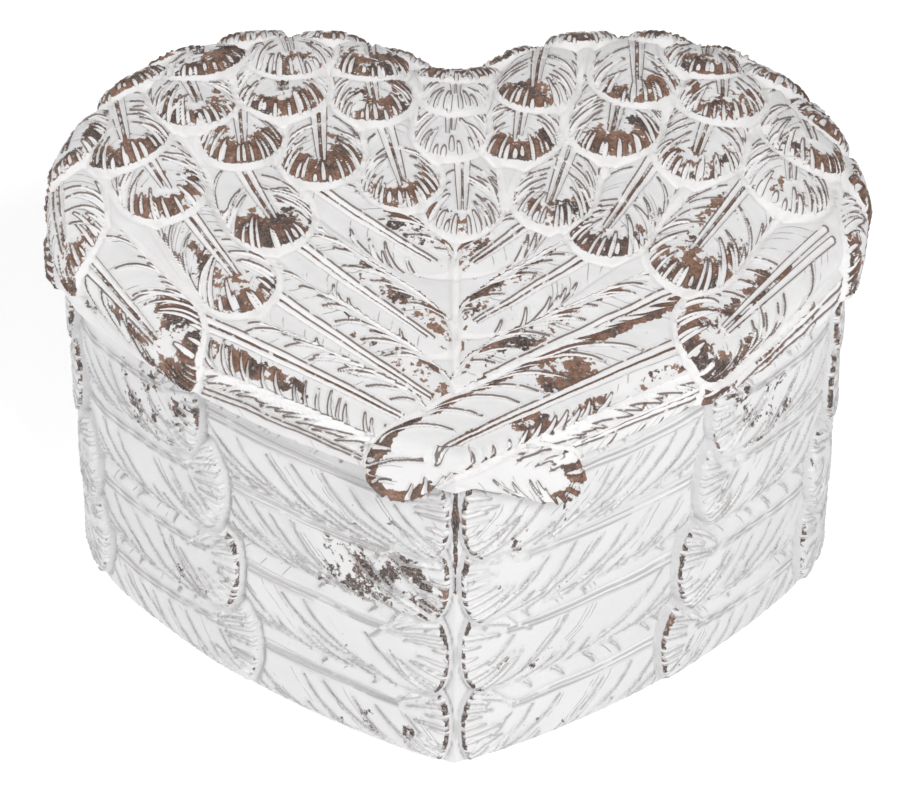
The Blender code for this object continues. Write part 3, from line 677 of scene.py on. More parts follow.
def carve_wall(sheet):
    """Feathers in columns from the front point back; the first column's tips are in line."""
    rng = np.random.default_rng(SEED + 1)
    for column, (tip_at, reach) in enumerate(zip(COLUMN_TIPS, COLUMN_REACH)):
        for side in (-1, 1):
            shift = rng.uniform(-2.0, 2.0) if column else 0.0
            for row, top in reversed(tuple(enumerate(ROW_TOPS))):
                start = tip_at
                if column:
                    start += ROW_DRIFT * (1.2 - row) + rng.uniform(-1.6, 1.6)
                middle = top - ROW_TALL / 2 + shift + rng.uniform(-0.6, 0.6)
                heading = 180.0 if side > 0 else 0.0
                droop = 3.0 * side if column else 0.0
                worn = rng.uniform(0.35 if column else 0.7, 1.0)
                feather = Feather((side * start, middle), heading, reach + rng.uniform(0, 4),
                                  ROW_TALL, worn, droop, -side, -side * 0.32, 0.45)
                feather.speckled = SPECKLED.get((column, side, row), 0.0)
                # wider dips beside the back columns' tips, which the box's material fills with
                # painted shade
                lay_wall(sheet, feather, rng, 2.4 if column else 1.3)
    # the sharp fold at the front point
    crease = hump(sheet.at[:, 0], 0.5) * smooth(24, 46, sheet.at[:, 1])
    sheet.height -= 0.3 * crease
    sheet.worn = np.maximum(sheet.worn, 1.3 * crease)
    sheet.valley *= 1 - smooth(0.3, 0.8, crease)
    carve(sheet)


# ------------------------------------------------------------------ meshes

def ring_faces(ring, after):
    """Quads between two closed rings given as point numbers."""
    quads = np.stack([ring, after, np.roll(after, -1), np.roll(ring, -1)], -1)
    return quads.tolist()


def cap_faces(ring, centre):
    return [[a, centre, b] for a, b in zip(ring, np.roll(ring, -1))]


class Solid:
    """A closed mesh's points, in millimetres, and faces, gathered part by part."""

    def __init__(self, points=(), faces=()):
        self.points = [np.reshape(points, (-1, 3))]
        self.count = len(points)
        self.faces = list(faces)

    def add(self, points):
        """Adds points and returns their numbers."""
        start = self.count
        self.points.append(np.asarray(points))
        self.count += len(points)
        return np.arange(start, self.count)

    def close(self, last, rings, centre, flip=False):
        """Goes from the ring last over more rings of points to a cap round centre."""
        step = -1 if flip else 1
        for points in rings:
            ring = self.add(points)
            self.faces += [face[::step] for face in ring_faces(last, ring)]
            last = ring
        middle = self.add([centre])[0]
        self.faces += [face[::step] for face in cap_faces(last, middle)]

    def shell(self, start, rings, end):
        """A skin of its own from a start point over rings of points to an end point."""
        middle = self.add([start])[0]
        first = self.add(rings[0])
        self.faces += [face[::-1] for face in cap_faces(first, middle)]
        self.close(first, rings[1:], end)

    def bar(self, sections):
        """A bar of its own through rings of points, with flat ends."""
        rings = [self.add(section) for section in sections]
        for ring, after in zip(rings, rings[1:]):
            self.faces += ring_faces(ring, after)
        self.faces += [rings[0].tolist(), rings[-1][::-1].tolist()]


def outward(mesh):
    """Turns the faces of a closed mesh so that they point out."""
    mesh.calc_loop_triangles()
    corners = np.empty(len(mesh.loop_triangles) * 3, np.int32)
    mesh.loop_triangles.foreach_get("vertices", corners)
    places = np.empty(len(mesh.vertices) * 3, np.float32)
    mesh.vertices.foreach_get("co", places)
    a, b, c = places.reshape(-1, 3)[corners.reshape(-1, 3)].transpose(1, 0, 2)
    if np.einsum("ij,ij->i", a, np.cross(b, c)).sum() < 0:
        mesh.flip_normals()


def mesh_piece(name, solid, body, material, sheet=None, flat_from=None):
    """A piece from a solid, whose faces from the number flat_from on are flat.

    With a sheet, the solid's first points are the sheet's and carry its shading values.
    """
    mesh = bpy.data.meshes.new(name)
    mesh.from_pydata((np.vstack(solid.points) * MM).tolist(), [], solid.faces)
    mesh.validate()
    mesh.update()
    smooth_flags = np.ones(len(mesh.polygons), bool)
    if flat_from is not None:
        smooth_flags[flat_from:] = False
    mesh.polygons.foreach_set("use_smooth", smooth_flags)
    if sheet:
        for key, neutral in NEUTRAL.items():
            plain = np.full(solid.count - len(sheet.at), neutral)
            values = np.concatenate([getattr(sheet, key), plain]).astype(np.float32)
            mesh.attributes.new(key, "FLOAT", "POINT").data.foreach_set("value", values)
    outward(mesh)
    piece = bpy.data.objects.new(name, mesh)
    bpy.context.scene.collection.objects.link(piece)
    piece.data.materials.append(material)
    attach(piece, body)
    return piece


def grid_faces(rows, columns, wrap=False):
    """Quads over a grid whose columns run fastest; wrap joins the last column to the first."""
    count = columns if wrap else columns - 1
    row, column = np.meshgrid(np.arange(rows - 1), np.arange(count), indexing="ij")
    after = (column + 1) % columns
    quads = np.stack([row * columns + column, row * columns + after,
                      (row + 1) * columns + after, (row + 1) * columns + column], -1)
    return quads.reshape(-1, 4)


def ring_points(radius, angle, level, slope=0.0):
    """A ring of points round the axis, which rises by slope towards the back."""
    x, y = radius * np.cos(angle), radius * np.sin(angle)
    return np.column_stack([x, y, level + slope * y])


# ------------------------------------------------------------------ the lid

def lid_rise(y):
    back = np.clip((y - LID_LOW[1]) / (LID_HIGH[1] - LID_LOW[1]), 0.0, 1.0)
    return LID_RISE * (1.0 - LID_FALL * (1.0 - back) ** LID_FALL_POWER)


def lid_crown(points):
    """Height of the uncarved lid over plan points."""
    inward = np.clip(edge_distance(points, OVERHANG), 0.0, LID_ROUND)
    shoulder = np.sqrt(np.clip(1 - (1 - inward / LID_ROUND) ** 2, 0.0, 1.0))
    return BOX_HEIGHT + LID_SIDE + (lid_rise(points[..., 1]) - LID_SIDE) * shoulder


def hanging(angles, run):
    """How far below the seam the front feathers' tips reach, at each angle.

    run is the length of the line from the lid's middle down to its seam.
    """
    below = np.linspace(0.0, TIP_REACH, 81)
    away = run[:, None] + below
    spots = away[..., None] * turn(angles)[:, None, :]
    covered = np.zeros(away.shape, bool)
    for feather in (CROSSING_FEATHER, UNDER_FEATHER):
        along, across = feather.local(spots)
        covered |= (feather.inside(along, across) > -0.2) & (along > 0)
    reach = np.where(covered, below, 0.0).max(axis=1)
    soft = np.hanning(9)
    reach = np.pad(reach, len(soft) // 2, "wrap")
    return np.convolve(reach, soft / soft.sum(), "valid")


def line_length(share, run, drop):
    """How far along a line a share of it lies; only its last tenth stretches for a drop."""
    return share * run + drop * np.clip((share - 0.9) / 0.1, 0.0, 1.0)


def lid_profiles(angles, samples):
    """Lines over the lid from its middle to its edge, at even steps, for each angle.

    Returns distance from the axis and height, each (angles, samples), the lines' lengths
    down to the seam, and how far below the seam each line ends.
    """
    crown_steps, side_steps, corner_steps = 260, 12, 7
    rim = heart_radius(OVERHANG, angles)[:, None]
    away = rim * np.sin(np.linspace(0.0, math.pi / 2, crown_steps))
    plan = away[..., None] * turn(angles)[:, None, :]
    height = lid_crown(plan)
    over = np.hypot(np.diff(away, axis=1), np.diff(height, axis=1)).sum(axis=1)
    drop = hanging(angles, over + LID_SIDE - SEAM_GAP)[:, None]
    share = np.linspace(0.0, 1.0, side_steps)[1:]
    corner = np.linspace(0.0, math.pi / 2, corner_steps)[1:]
    side = BOX_HEIGHT + LID_SIDE - share * (LID_SIDE - SEAM_GAP - RIM_ROUND + drop)
    low_height = np.hstack([side, SEAM - drop + RIM_ROUND * (1 - np.sin(corner))])
    low_away = np.concatenate([0 * share, RIM_ROUND * (np.cos(corner) - 1)])
    away = np.hstack([away, rim + low_away])
    height = np.hstack([height, low_height])
    steps = np.hypot(np.diff(away, axis=1), np.diff(height, axis=1))
    length = np.hstack([np.zeros((len(angles), 1)), np.cumsum(steps, axis=1)])
    share = np.linspace(0.0, 1.0, samples)
    drop = drop[:, 0]
    run = length[:, -1] - drop
    even = [[], []]
    for i in range(len(angles)):
        spots = line_length(share, run[i], drop[i])
        for lines, values in zip(even, (away, height)):
            lines.append(np.interp(spots, length[i], values[i]))
    return np.array(even[0]), np.array(even[1]), run, drop


def disc_grid(side):
    """A square grid drawn into a disc: each point's share of the radius, and its angle."""
    line = np.linspace(-1.0, 1.0, side)
    x, y = np.meshgrid(line, -line)
    share = np.maximum(np.abs(x), np.abs(y))
    wide = np.abs(x) >= np.abs(y)
    main, other = np.where(wide, x, y), np.where(wide, y, x)
    lean = other / np.where(main == 0, 1, main) * math.pi / 4
    angle = np.where(wide, lean, math.pi / 2 - lean)
    return share, np.mod(np.where(main < 0, angle + math.pi, angle), math.tau)


def bilinear(table, row, column):
    low_row = np.clip(np.floor(row).astype(int), 0, table.shape[0] - 2)
    low_column = np.clip(np.floor(column).astype(int), 0, table.shape[1] - 2)
    a, b = row - low_row, column - low_column
    top = table[low_row, low_column] * (1 - b) + table[low_row, low_column + 1] * b
    bottom = table[low_row + 1, low_column] * (1 - b) + table[low_row + 1, low_column + 1] * b
    return top * (1 - a) + bottom * a


def carved_lid(material):
    """The lid: a carved crown on a square grid, closed by its lip and hollow underneath."""
    side = LID_GRID
    angles = np.linspace(0.0, math.tau, LID_LINES)
    away, height, length, drop = lid_profiles(angles, LID_SAMPLES)
    share, angle = disc_grid(side)
    row = angle / math.tau * (LID_LINES - 1)
    column = share * (LID_SAMPLES - 1)
    direction = turn(angle)
    plan = bilinear(away, row, column)[..., None] * direction
    points = np.concatenate([plan, bilinear(height, row, column)[..., None]], -1)
    run = np.interp(row, np.arange(LID_LINES), length)
    hung = np.interp(row, np.arange(LID_LINES), drop)
    travel = line_length(share, run, hung)

    sheet = Sheet((travel[..., None] * direction).reshape(-1, 2))
    carve_lid(sheet)
    sheet.height += sum(ripple(sheet.at, *waves) for waves in LID_RIPPLES)
    fade = smooth(*LID_FADE, (run + hung - travel).ravel())
    lift = (sheet.height * fade).reshape(side, side, 1)
    normals = np.cross(np.gradient(points, axis=0), np.gradient(points, axis=1))
    normals /= np.maximum(np.linalg.norm(normals, axis=-1, keepdims=True), 1e-9)
    lid = Solid((points + normals * lift).reshape(-1, 3), grid_faces(side, side).tolist())
    flat_from = len(lid.faces)

    # the underside, from the rim in: past the hanging tips, down round the lip, and hollow
    number = np.arange(side * side).reshape(side, side)
    border = np.concatenate([number[0, :-1], number[:-1, -1], number[-1, :0:-1],
                             number[:0:-1, 0]])
    around = angle.ravel()[border]
    behind, behind_in, lip_out, lip_in, hollow = (
        heart_radius(offset, around)
        for offset in (TIP_BACK, TIP_BACK - 0.2, LIP_OUT, LIP_IN, CEILING_IN)
    )
    ceiling = SEAM + CEILING_SHARE * lid_rise(0.0)
    cove = SEAM + COVE_LOW + COVE_SHARE * lid_rise(lip_in * np.sin(around))
    rings = [
        (behind, SEAM - hung.ravel()[border]), (behind_in, SEAM), (lip_out, SEAM),
        (lip_out, LIP_LOW), (lip_in, LIP_LOW), (lip_in, cove),
        (hollow, ceiling, CEILING_SLOPE), (0.5 * hollow, ceiling, CEILING_SLOPE),
    ]
    rings = [ring_points(radius, around, *level) for radius, *level in rings]
    lid.close(border, rings, (0.0, 0.0, ceiling))
    piece = mesh_piece("winged_lid", lid, "lid", material, sheet, flat_from)
    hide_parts("lid_shell")


# ------------------------------------------------------------------ the box

def perimeter(count):
    """Evenly spaced points round the wall from the front point, their run, and normals."""
    outline = heart_points(0.0)
    outline = np.vstack([outline, outline[:1]])
    steps = np.hypot(*np.diff(outline, axis=0).T)
    outline = outline[np.concatenate([[True], steps > 1e-6])]
    run = np.concatenate([[0.0], np.cumsum(np.hypot(*np.diff(outline, axis=0).T))])
    at = np.linspace(0.0, run[-1], count, endpoint=False)
    plan = np.column_stack([np.interp(at, run, outline[:, i]) for i in (0, 1)])
    along = np.roll(plan, -2, axis=0) - np.roll(plan, 2, axis=0)
    normals = np.column_stack([along[:, 1], -along[:, 0]])
    normals /= np.linalg.norm(normals, axis=1, keepdims=True)
    signed = np.where(at > run[-1] / 2, at - run[-1], at)
    return plan, signed, normals


def carved_box(material):
    """The box: carved walls, closed by the compartment above and the recess below."""
    plan, run, normals = perimeter(WALL_COLUMNS)
    z = np.linspace(EDGE, BOX_HEIGHT - EDGE, WALL_ROWS)
    sheet = Sheet(np.stack(np.meshgrid(run, z), -1).reshape(-1, 2))
    carve_wall(sheet)
    sheet.height += sum(ripple(sheet.at, *waves) for waves in WALL_RIPPLES)
    ends = np.minimum(sheet.at[:, 1], BOX_HEIGHT - sheet.at[:, 1])
    lift = np.minimum(sheet.height, WALL_PROUD) * smooth(*WALL_FADE, ends)
    outside = np.tile(plan, (WALL_ROWS, 1)) + np.tile(normals, (WALL_ROWS, 1)) * lift[:, None]
    box = Solid(np.column_stack([outside, sheet.at[:, 1]]),
                grid_faces(WALL_ROWS, WALL_COLUMNS, wrap=True).tolist())
    flat_from = len(box.faces)

    angle = np.arctan2(plan[:, 1], plan[:, 0])
    rim, edge, inner = (heart_radius(-offset, angle) for offset in (EDGE, WALL - CHAMFER, WALL))
    bottom = np.arange(WALL_COLUMNS)
    top = bottom + (WALL_ROWS - 1) * WALL_COLUMNS
    hollows = ((top, BOX_HEIGHT, -CHAMFER, FLOOR_TOP), (bottom, 0.0, CHAMFER, FLOOR_UNDER))
    for first, level, inward, floor_z in hollows:
        rings = ((rim, level), (edge, level), (inner, level + inward), (inner, floor_z),
                 (0.5 * inner, floor_z))
        rings = [ring_points(radius, angle, height) for radius, height in rings]
        box.close(first, rings, (0.0, 0.0, floor_z), flip=inward < 0)
    add_bosses(box)
    piece = mesh_piece("winged_box", box, "box", material, sheet, flat_from)
    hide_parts("base_shell")


def add_bosses(box, segments=24):
    """Screw bosses under the compartment floor, each a closed sleeve with a blind hole."""
    circle = turn(np.linspace(0.0, math.tau, segments, endpoint=False))
    outline = ((BOSS_HOLE_R, BOSS_HOLE_TOP), (BOSS_HOLE_R, BOSS_LOW), (BOSS_R, BOSS_LOW),
               (BOSS_R, BOSS_ROOT))
    for x, y in BOSSES:
        rings = [np.column_stack([(x, y) + radius * circle, np.full(segments, level)])
                 for radius, level in outline]
        box.shell((x, y, BOSS_HOLE_TOP), rings, (x, y, BOSS_ROOT))


# ------------------------------------------------------------------ materials

class Shader:
    """A node material, built up one node at a time."""

    def __init__(self, name, roughness=0.6, metallic=0.0, specular=0.5, more=None):
        self.material = bpy.data.materials.new(name)
        self.material.use_nodes = True
        self.tree = self.material.node_tree
        self.tree.nodes.clear()
        surface = {"Roughness": roughness, "Metallic": metallic, "Specular IOR Level": specular}
        self.skin = self.node("BsdfPrincipled", {**surface, **(more or {})})
        self.out = self.node("OutputMaterial", {"Surface": self.skin.outputs["BSDF"]})

    def put(self, value, socket):
        """Links an output to a socket, or sets the socket to a number or colour."""
        if isinstance(value, bpy.types.NodeSocket):
            self.tree.links.new(value, socket)
        elif socket.type == "RGBA":
            socket.default_value = (*value, 1.0)
        else:
            socket.default_value = value

    def node(self, kind, inputs, **settings):
        """A new node; inputs holds what goes into its sockets, by name or number."""
        node = self.tree.nodes.new("ShaderNode" + kind)
        for key, value in settings.items():
            setattr(node, key, value)
        for key, value in inputs.items():
            self.put(value, node.inputs[key])
        return node

    def noise(self, size, detail, rough, stretch=(1.0, 1.0, 1.0), distortion=0.0):
        """Noise of about the given size in the object's own frame, stretched if asked."""
        source = self.node("TexCoord", {}).outputs["Object"]
        scale = [s / MM for s in stretch]
        where = self.node("Mapping", {"Vector": source, "Scale": scale}).outputs["Vector"]
        inputs = {"Vector": where, "Scale": 1.0 / size, "Detail": detail, "Roughness": rough,
                  "Distortion": distortion}
        return self.node("TexNoise", inputs).outputs["Fac"]

    def dice(self, value):
        """A random number from 0 to 1 for each whole value."""
        return self.node("TexWhiteNoise", {"W": value}, noise_dimensions="1D").outputs["Value"]

    def attribute(self, name):
        return self.node("Attribute", {}, attribute_name=name).outputs["Fac"]

    def math(self, kind, *values):
        return self.node("Math", dict(enumerate(values)), operation=kind).outputs["Value"]

    def times(self, first, *others):
        for other in others:
            first = self.math("MULTIPLY", first, other)
        return first

    def minus(self, a, b):
        return self.math("SUBTRACT", a, b)

    def blend(self, a, factor, b):
        """a times factor, plus b."""
        return self.math("MULTIPLY_ADD", a, factor, b)

    def step(self, value, low, high):
        """0 at low and 1 at high, smooth between; low may be above high."""
        first, last = (0.0, 1.0) if low < high else (1.0, 0.0)
        inputs = {"Value": value, "From Min": min(low, high), "From Max": max(low, high),
                  "To Min": first, "To Max": last}
        return self.node("MapRange", inputs, interpolation_type="SMOOTHSTEP").outputs["Result"]

    def mix(self, share, a, b):
        return self.node("Mix", {0: share, 6: a, 7: b}, data_type="RGBA").outputs[2]

    def tone(self, value, low, high, a, b, most=1.0):
        """Colour a, with up to the share most of b in it as value goes from low to high."""
        return self.mix(self.times(self.step(value, low, high), most), a, b)

    def span(self, share, low, high):
        """Low to high as share goes from 0 to 1."""
        return self.blend(share, high - low, low)

    def finish(self, colour, height=None, depth=0.0, roughness=None):
        """Sets the colour, a bump of the given depth, and the roughness if it varies."""
        self.put(colour, self.skin.inputs["Base Color"])
        if height is not None:
            bump = self.node("Bump", {"Height": height, "Distance": depth * MM})
            self.put(bump.outputs["Normal"], self.skin.inputs["Normal"])
        if roughness is not None:
            self.put(roughness, self.skin.inputs["Roughness"])
        return self.material


def resin_material(name, face, dip, rub_bias, line_share, line_size, line_colour, charcoal):
    """Brown cast resin under white paint, rubbed back where it stands proud.

    face is the paint's colour, and dip the colour in the dips round the feathers: white
    paint on the lid, painted shade in the box's gutters. rub_bias makes the rubbing wider,
    and charcoal makes it darker. line_share says how much of each stroke's edge shows a
    dark line, in lengths of about line_size.
    """
    s = Shader(name, specular=0.35)
    stroke, valley, worn = s.attribute("stroke"), s.attribute("valley"), s.attribute("worn")
    fine, speck = s.noise(0.32, 4.0, 0.6), s.noise(0.9, 4.0, 0.65)
    cloud, broad = s.noise(3.6, 3.0, 0.5), s.noise(14.0, 2.0, 0.5)

    # hairlines between the strokes: a fifth of them, for part of their length
    count = s.blend(s.attribute("barb"), 1.15, s.times(cloud, 1.2))
    chosen = s.step(s.dice(s.math("FLOOR", count)), 0.80, 0.82)
    beside = s.math("ABSOLUTE", s.minus(s.math("FRACT", count), 0.5))
    part = s.step(s.noise(2.6, 2.0, 0.5), 0.42, 0.52)
    hair = s.times(s.step(beside, 0.14, 0.05), chosen, s.attribute("hair"), part)

    paint = s.tone(broad, 0.35, 0.65, tuple(0.95 * c for c in face), face)
    paint = s.mix(s.times(hair, 0.55), paint, (0.36, 0.33, 0.32))
    paint = s.tone(fine, 0.60, 0.78, paint, (0.55, 0.54, 0.53), 0.35)

    # rubbed places: the paint is gone where worn outweighs a patchy threshold
    patch = s.blend(cloud, 1.5, s.times(speck, 0.9))
    rubbed = s.step(s.blend(worn, 1.15, s.minus(patch, 1.80 - rub_bias)), -0.03, 0.07)
    warm = s.tone(speck, 0.38, 0.62, (0.170, 0.085, 0.056), (0.285, 0.167, 0.118))
    dark = s.tone(fine, 0.4, 0.6, (0.050, 0.036, 0.032), (0.135, 0.100, 0.090))
    darker, hazier = 0.3 * charcoal, 0.1 * charcoal
    brown = s.tone(s.noise(5.2, 3.0, 0.6), 0.60 - darker, 0.76 - darker, warm, dark)
    flecks = s.noise(0.55, 5.0, 0.7)
    brown = s.tone(flecks, 0.61 - hazier, 0.73 - hazier, brown, (0.52, 0.48, 0.45), 0.75)
    colour = s.mix(rubbed, paint, brown)

    # thin dark lines along the strokes' edges: painted shade beside the carving, and on the lid
    # also the brown resin of their rubbed lips
    shown = 0.4 * line_share
    gate = s.step(s.noise(line_size, 2.0, 0.5), 0.66 - shown, 0.74 - shown)
    line = s.times(s.step(stroke, -0.03, 0.05), s.step(stroke, 0.24, 0.12), gate, 0.85)
    colour = s.mix(line, colour, line_colour)

    # solid white in the strokes, and the dip colour in the dips: white paint on the lid, painted
    # shade on the box
    filled = s.blend(s.minus(fine, 0.5), 0.12, stroke)
    colour = s.tone(filled, 0.03, -0.05, colour, tuple(1.09 * c for c in face))
    ragged = s.blend(s.minus(speck, 0.5), 0.35, valley)
    colour = s.tone(ragged, 0.42, 0.56, colour, dip)

    height = s.blend(speck, 0.6, s.times(fine, 0.5))
    height = s.minus(s.minus(height, s.times(rubbed, 0.35)), s.times(hair, 1.2))
    rough = s.minus(s.span(speck, 0.62, 0.82), s.times(rubbed, 0.18))
    return s.finish(colour, height, 0.09, rough)


def velvet_material():
    sheen = {"Sheen Weight": 0.7, "Sheen Roughness": 0.45, "Sheen Tint": (0.95, 0.9, 0.86)}
    s = Shader("velvet_pile", 0.95, specular=0.15, more=sheen)
    pile, brushed = s.noise(0.28, 4.0, 0.7), s.noise(9.0, 3.0, 0.6, distortion=1.5)
    colour = s.tone(brushed, 0.38, 0.62, (0.50, 0.44, 0.40), (0.66, 0.60, 0.55))
    colour = s.tone(pile, 0.35, 0.7, colour, (0.75, 0.69, 0.64), 0.5)
    return s.finish(colour, s.blend(brushed, 0.6, pile), 0.25)


def board_material():
    s = Shader("fibreboard", 0.85, specular=0.3)
    fibre, grain = s.noise(0.5, 5.0, 0.7, (1.0, 0.25, 1.0)), s.noise(0.22, 3.0, 0.6)
    colour = s.tone(fibre, 0.3, 0.7, (0.20, 0.135, 0.095), (0.33, 0.24, 0.175))
    colour = s.tone(grain, 0.6, 0.75, colour, (0.46, 0.36, 0.27), 0.5)
    colour = s.tone(s.noise(16.0, 3.0, 0.5), 0.45, 0.65, colour, (0.17, 0.12, 0.09), 0.35)
    return s.finish(colour, fibre, 0.12, s.span(grain, 0.75, 0.95))


def metal_material(name, bright, dull, stretch, rough, scratch=0.05):
    """Brushed or cast metal: streaks along one axis, dull spots and finger marks."""
    s = Shader(name, sum(rough) / 2, 1.0)
    streak, spots = s.noise(0.35, 4.0, 0.6, stretch), s.noise(2.4, 4.0, 0.6)
    colour = s.tone(spots, 0.45, 0.7, bright, dull, 0.55)
    colour = s.tone(streak, 0.45, 0.7, colour, dull, 0.35)
    smeared = s.blend(streak, 0.6, s.times(s.noise(7.0, 2.0, 0.5), 0.4))
    return s.finish(colour, s.blend(spots, 0.3, streak), scratch, s.span(smeared, *rough))


def plastic_material():
    s = Shader("moulded_plastic", 0.4)
    mould = s.noise(0.25, 3.0, 0.5)
    colour = s.tone(s.noise(3.0, 2.0, 0.5), 0.4, 0.6, (0.74, 0.73, 0.68), (0.82, 0.81, 0.77))
    return s.finish(colour, mould, 0.02, s.span(mould, 0.34, 0.5))


def floor_material():
    """Pale from above, and clear from below so that the underside can be looked at."""
    glow = {"Emission Color": (1.0, 1.0, 1.0), "Emission Strength": 0.34}
    s = Shader("pale_floor", 0.9, specular=0.2, more=glow)
    below = s.node("NewGeometry", {}).outputs["Backfacing"]
    clear = s.node("BsdfTransparent", {}).outputs["BSDF"]
    either = s.node("MixShader", {0: below, 1: s.skin.outputs["BSDF"], 2: clear})
    s.put(either.outputs["Shader"], s.out.inputs["Surface"])
    return s.finish(s.mix(s.noise(60.0, 2.0, 0.5), (0.93, 0.93, 0.93), (0.95, 0.95, 0.95)))


# ------------------------------------------------------------------ other pieces

def pad_puff(x, y):
    """How far the velvet stands up or sinks at each point."""
    return np.minimum(ripple(np.column_stack([x, y]), 0.16, 11.0, SEED + 6), 0.2)


def velvet_pad(material):
    """The compartment's lining: a velvet-covered card with a soft rounded edge."""
    plan, _, _ = perimeter(420)
    angle = np.arctan2(plan[:, 1], plan[:, 0])
    radius = heart_radius(-WALL - 0.6, angle)
    low, high = PAD_LOW[2], PAD_HIGH[2]
    soft, tall = 1.1, 0.7     # the rounded edge's breadth and height
    levels = [(radius - 0.3, low), (radius, low + 0.3), (radius, high - tall)]
    levels += [(radius - soft * (1 - math.cos(a)), high - tall + tall * math.sin(a))
               for a in np.linspace(0.3, math.pi / 2, 5)]
    levels += [((radius - soft) * share, high) for share in np.linspace(1.0, 0.0, 26)[1:-1]]
    rings = [ring_points(away, angle, level) for away, level in levels]
    for ring, (_, level) in zip(rings, levels):
        if level == high:
            ring[:, 2] += pad_puff(ring[:, 0], ring[:, 1])
    pad = Solid()
    pad.shell((0.0, 0.0, low), rings, (0.0, 0.0, high + pad_puff(0.0, 0.0)[0]))
    piece = mesh_piece("velvet_pad", pad, "box", material)
    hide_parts("compartment_liner")


def cylinder_pins(material):
    """The tune: short steel pins round the cylinder, one row of places for each tooth."""
    tracks, beats, pinned = 18, 40, 0.34
    low, high = node_box("cylinder")
    comb_low, comb_high = node_box("comb")
    pitch = (comb_high[0] - comb_low[0]) / tracks
    radius = (high[2] - low[2]) / 2
    ends = ((radius - 0.3, 0.15), (radius + 0.36, 0.11))     # from the axis, and pin's radius
    rng = np.random.default_rng(SEED + 7)
    x_part, side_part = turn(np.linspace(0.0, math.tau, 6, endpoint=False)).T[..., None]
    pins = Solid()
    for track in range(tracks):
        centre = (low + high) / 2
        centre[0] = comb_low[0] + (track + 0.5) * pitch
        for beat in range(beats):
            if rng.random() > pinned:
                continue
            cos, sin = turn(math.tau * (beat + 0.5) / beats)
            out, beside = np.array([0.0, cos, sin]), np.array([0.0, -sin, cos])
            section = x_part * (1.0, 0.0, 0.0) + side_part * beside
            pins.bar([centre + out * away + wide * section for away, wide in ends])
    mesh_piece("cylinder_pins", pins, "cylinder", material, flat_from=0)


def worm_thread(material):
    """The fly shaft's worm: a ridge wound round the step that the governor wheel drives."""
    turns, steps, lead = 6, 18, 1.05
    core, crest = 0.75, 1.2
    x, y, _ = sum(node_box("fly_shaft")) / 2
    middle = (sum(node_box("governor_wheel")) / 2)[2]
    count = turns * steps
    sections = []
    for i in range(count + 1):
        cos, sin = turn(math.tau * i / steps)
        z = middle + lead * (i / steps - turns / 2)
        top = core + (crest - core) * max(min(1.0, i / 6, (count - i) / 6), 0.05)
        profile = ((core, -0.32), (top, -0.1), (top, 0.1), (core, 0.32))
        sections.append([(x + away * cos, y + away * sin, z + rise) for away, rise in profile])
    thread = Solid()
    thread.bar(sections)
    mesh_piece("worm_thread", thread, "fly", material)


# What each model node is made of; those not named here are of steel
MADE_OF = {
    "brass": ("winding_key", "great_wheel", "click", "cylinder_gear", "governor_wheel"),
    "zinc": ("bedplate", "spring_housing", "cylinder_bracket_left", "cylinder_bracket_right",
             "comb_bar", "governor_frame"),
    "board": ("bottom_plate",),
    "plastic": ("fly",),
}
REPLACED = ("base_shell", "lid_shell", "compartment_liner")


def dress_nodes(steel):
    """Gives each model node that still shows the material of what it is made of."""
    looks = {
        "brass": metal_material("brass", (0.80, 0.60, 0.28), (0.55, 0.40, 0.19),
                                (5.0, 1.0, 1.0), (0.22, 0.45)),
        "zinc": metal_material("cast_zinc", (0.52, 0.53, 0.54), (0.36, 0.37, 0.38),
                               (1.0, 1.3, 1.0), (0.42, 0.66), 0.12),
        "board": board_material(),
        "plastic": plastic_material(),
    }
    look_of = {name: looks[key] for key, names in MADE_OF.items() for name in names}
    for name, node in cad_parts.items():
        if name not in REPLACED:
            node.data.materials.clear()
            node.data.materials.append(look_of.get(name, steel))


# ------------------------------------------------------------------ stage, in metres

FLOOR_HALF = 3.0
WORLD_LIGHT = 0.47
LIGHT_TARGET = (0.0, 0.0, 0.04)
LIGHTS = (     # name, place, size, power
    ("key_light", (0.27, -0.52, 0.56), 0.25, 2.75),
    ("fill_light", (-0.55, -0.1, 0.52), 0.3, 1.45),
)
# In front of the heart's point and above it, aimed near the middle of the box
CAMERA_EYE = (0.0, -0.4665, 0.3833)
CAMERA_AIM = (-0.00088, 0.0094, 0.0269)
CAMERA_SENSOR = 36.0
CAMERA_LENS = 149.55


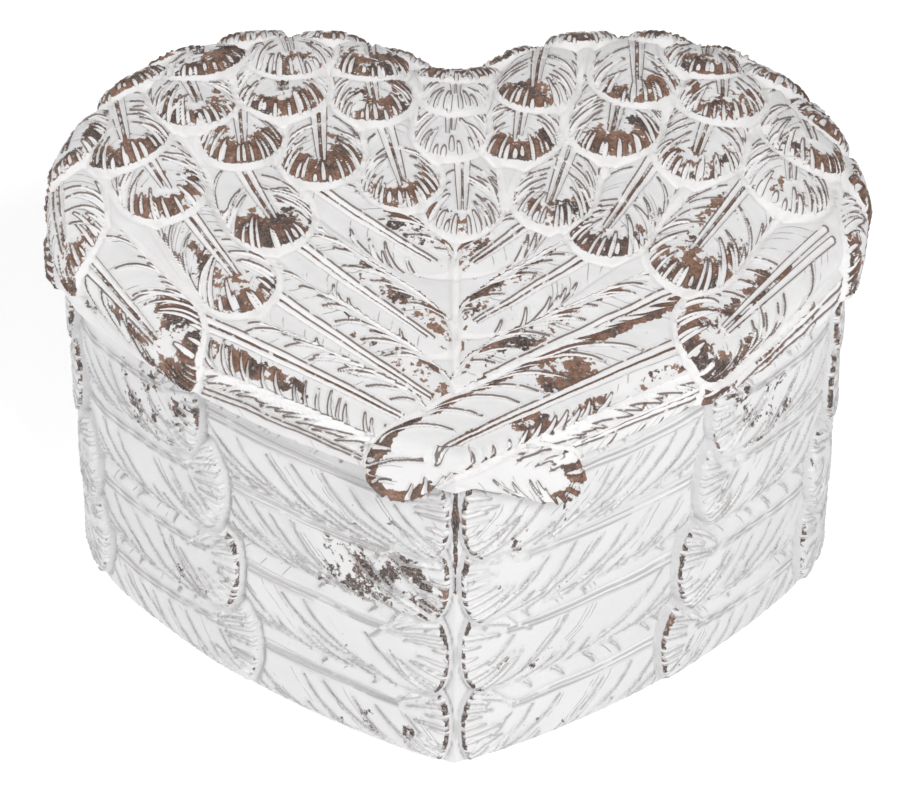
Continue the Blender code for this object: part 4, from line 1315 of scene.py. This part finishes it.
def stand(name, data, place, target):
    """Puts a light or camera in its place, turned towards a target and kept level."""
    thing = bpy.data.objects.new(name, data)
    thing.location = place
    thing.rotation_euler = (Vector(target) - Vector(place)).to_track_quat("-Z", "Y").to_euler()
    bpy.context.scene.collection.objects.link(thing)
    return thing


def floor(material):
    mesh = bpy.data.meshes.new("floor")
    corners = [(x * FLOOR_HALF, y * FLOOR_HALF, 0)
               for x, y in ((-1, -1), (1, -1), (1, 1), (-1, 1))]
    mesh.from_pydata(corners, [], [(0, 1, 2, 3)])
    mesh.materials.append(material)
    piece = bpy.data.objects.new("floor", mesh)
    bpy.context.scene.collection.objects.link(piece)


def lights():
    world = bpy.data.worlds.new("studio")
    world.use_nodes = True
    background = world.node_tree.nodes["Background"]
    background.inputs["Color"].default_value = (1.0, 1.0, 1.0, 1.0)
    background.inputs["Strength"].default_value = WORLD_LIGHT
    bpy.context.scene.world = world
    for name, place, size, power in LIGHTS:
        data = bpy.data.lights.new(name, "AREA")
        data.shape = "DISK"
        data.size = size
        data.energy = power
        stand(name, data, place, LIGHT_TARGET)


def camera():
    data = bpy.data.cameras.new("camera")
    data.sensor_width = CAMERA_SENSOR
    data.lens = CAMERA_LENS
    data.clip_start, data.clip_end = 0.01, 20.0
    scene = bpy.context.scene
    scene.camera = stand("camera", data, CAMERA_EYE, CAMERA_AIM)
    scene.view_settings.view_transform = "Standard"


# ------------------------------------------------------------------ build

camera()
lights()
floor(floor_material())
steel = metal_material("turned_steel", (0.60, 0.60, 0.61), (0.42, 0.42, 0.43), (1.0, 1.0, 6.0),
                       (0.24, 0.46))
dress_nodes(steel)
carved_lid(resin_material(
    "painted_resin_lid", face=(0.80, 0.79, 0.79), dip=(0.84, 0.83, 0.825), rub_bias=0.0,
    line_share=0.8, line_size=1.7, line_colour=(0.13, 0.085, 0.068), charcoal=0.5,
))
carved_box(resin_material(
    # dip darker than face: painted shade in the gutters round the wall's feathers
    "painted_resin_box", face=(0.75, 0.745, 0.75), dip=(0.69, 0.685, 0.69), rub_bias=-0.1,
    # line_colour grey: painted shade along the edges of the carved strokes
    line_share=0.75, line_size=5.0, line_colour=(0.53, 0.515, 0.51), charcoal=1.0,
))
velvet_pad(velvet_material())
cylinder_pins(steel)
worm_thread(steel)
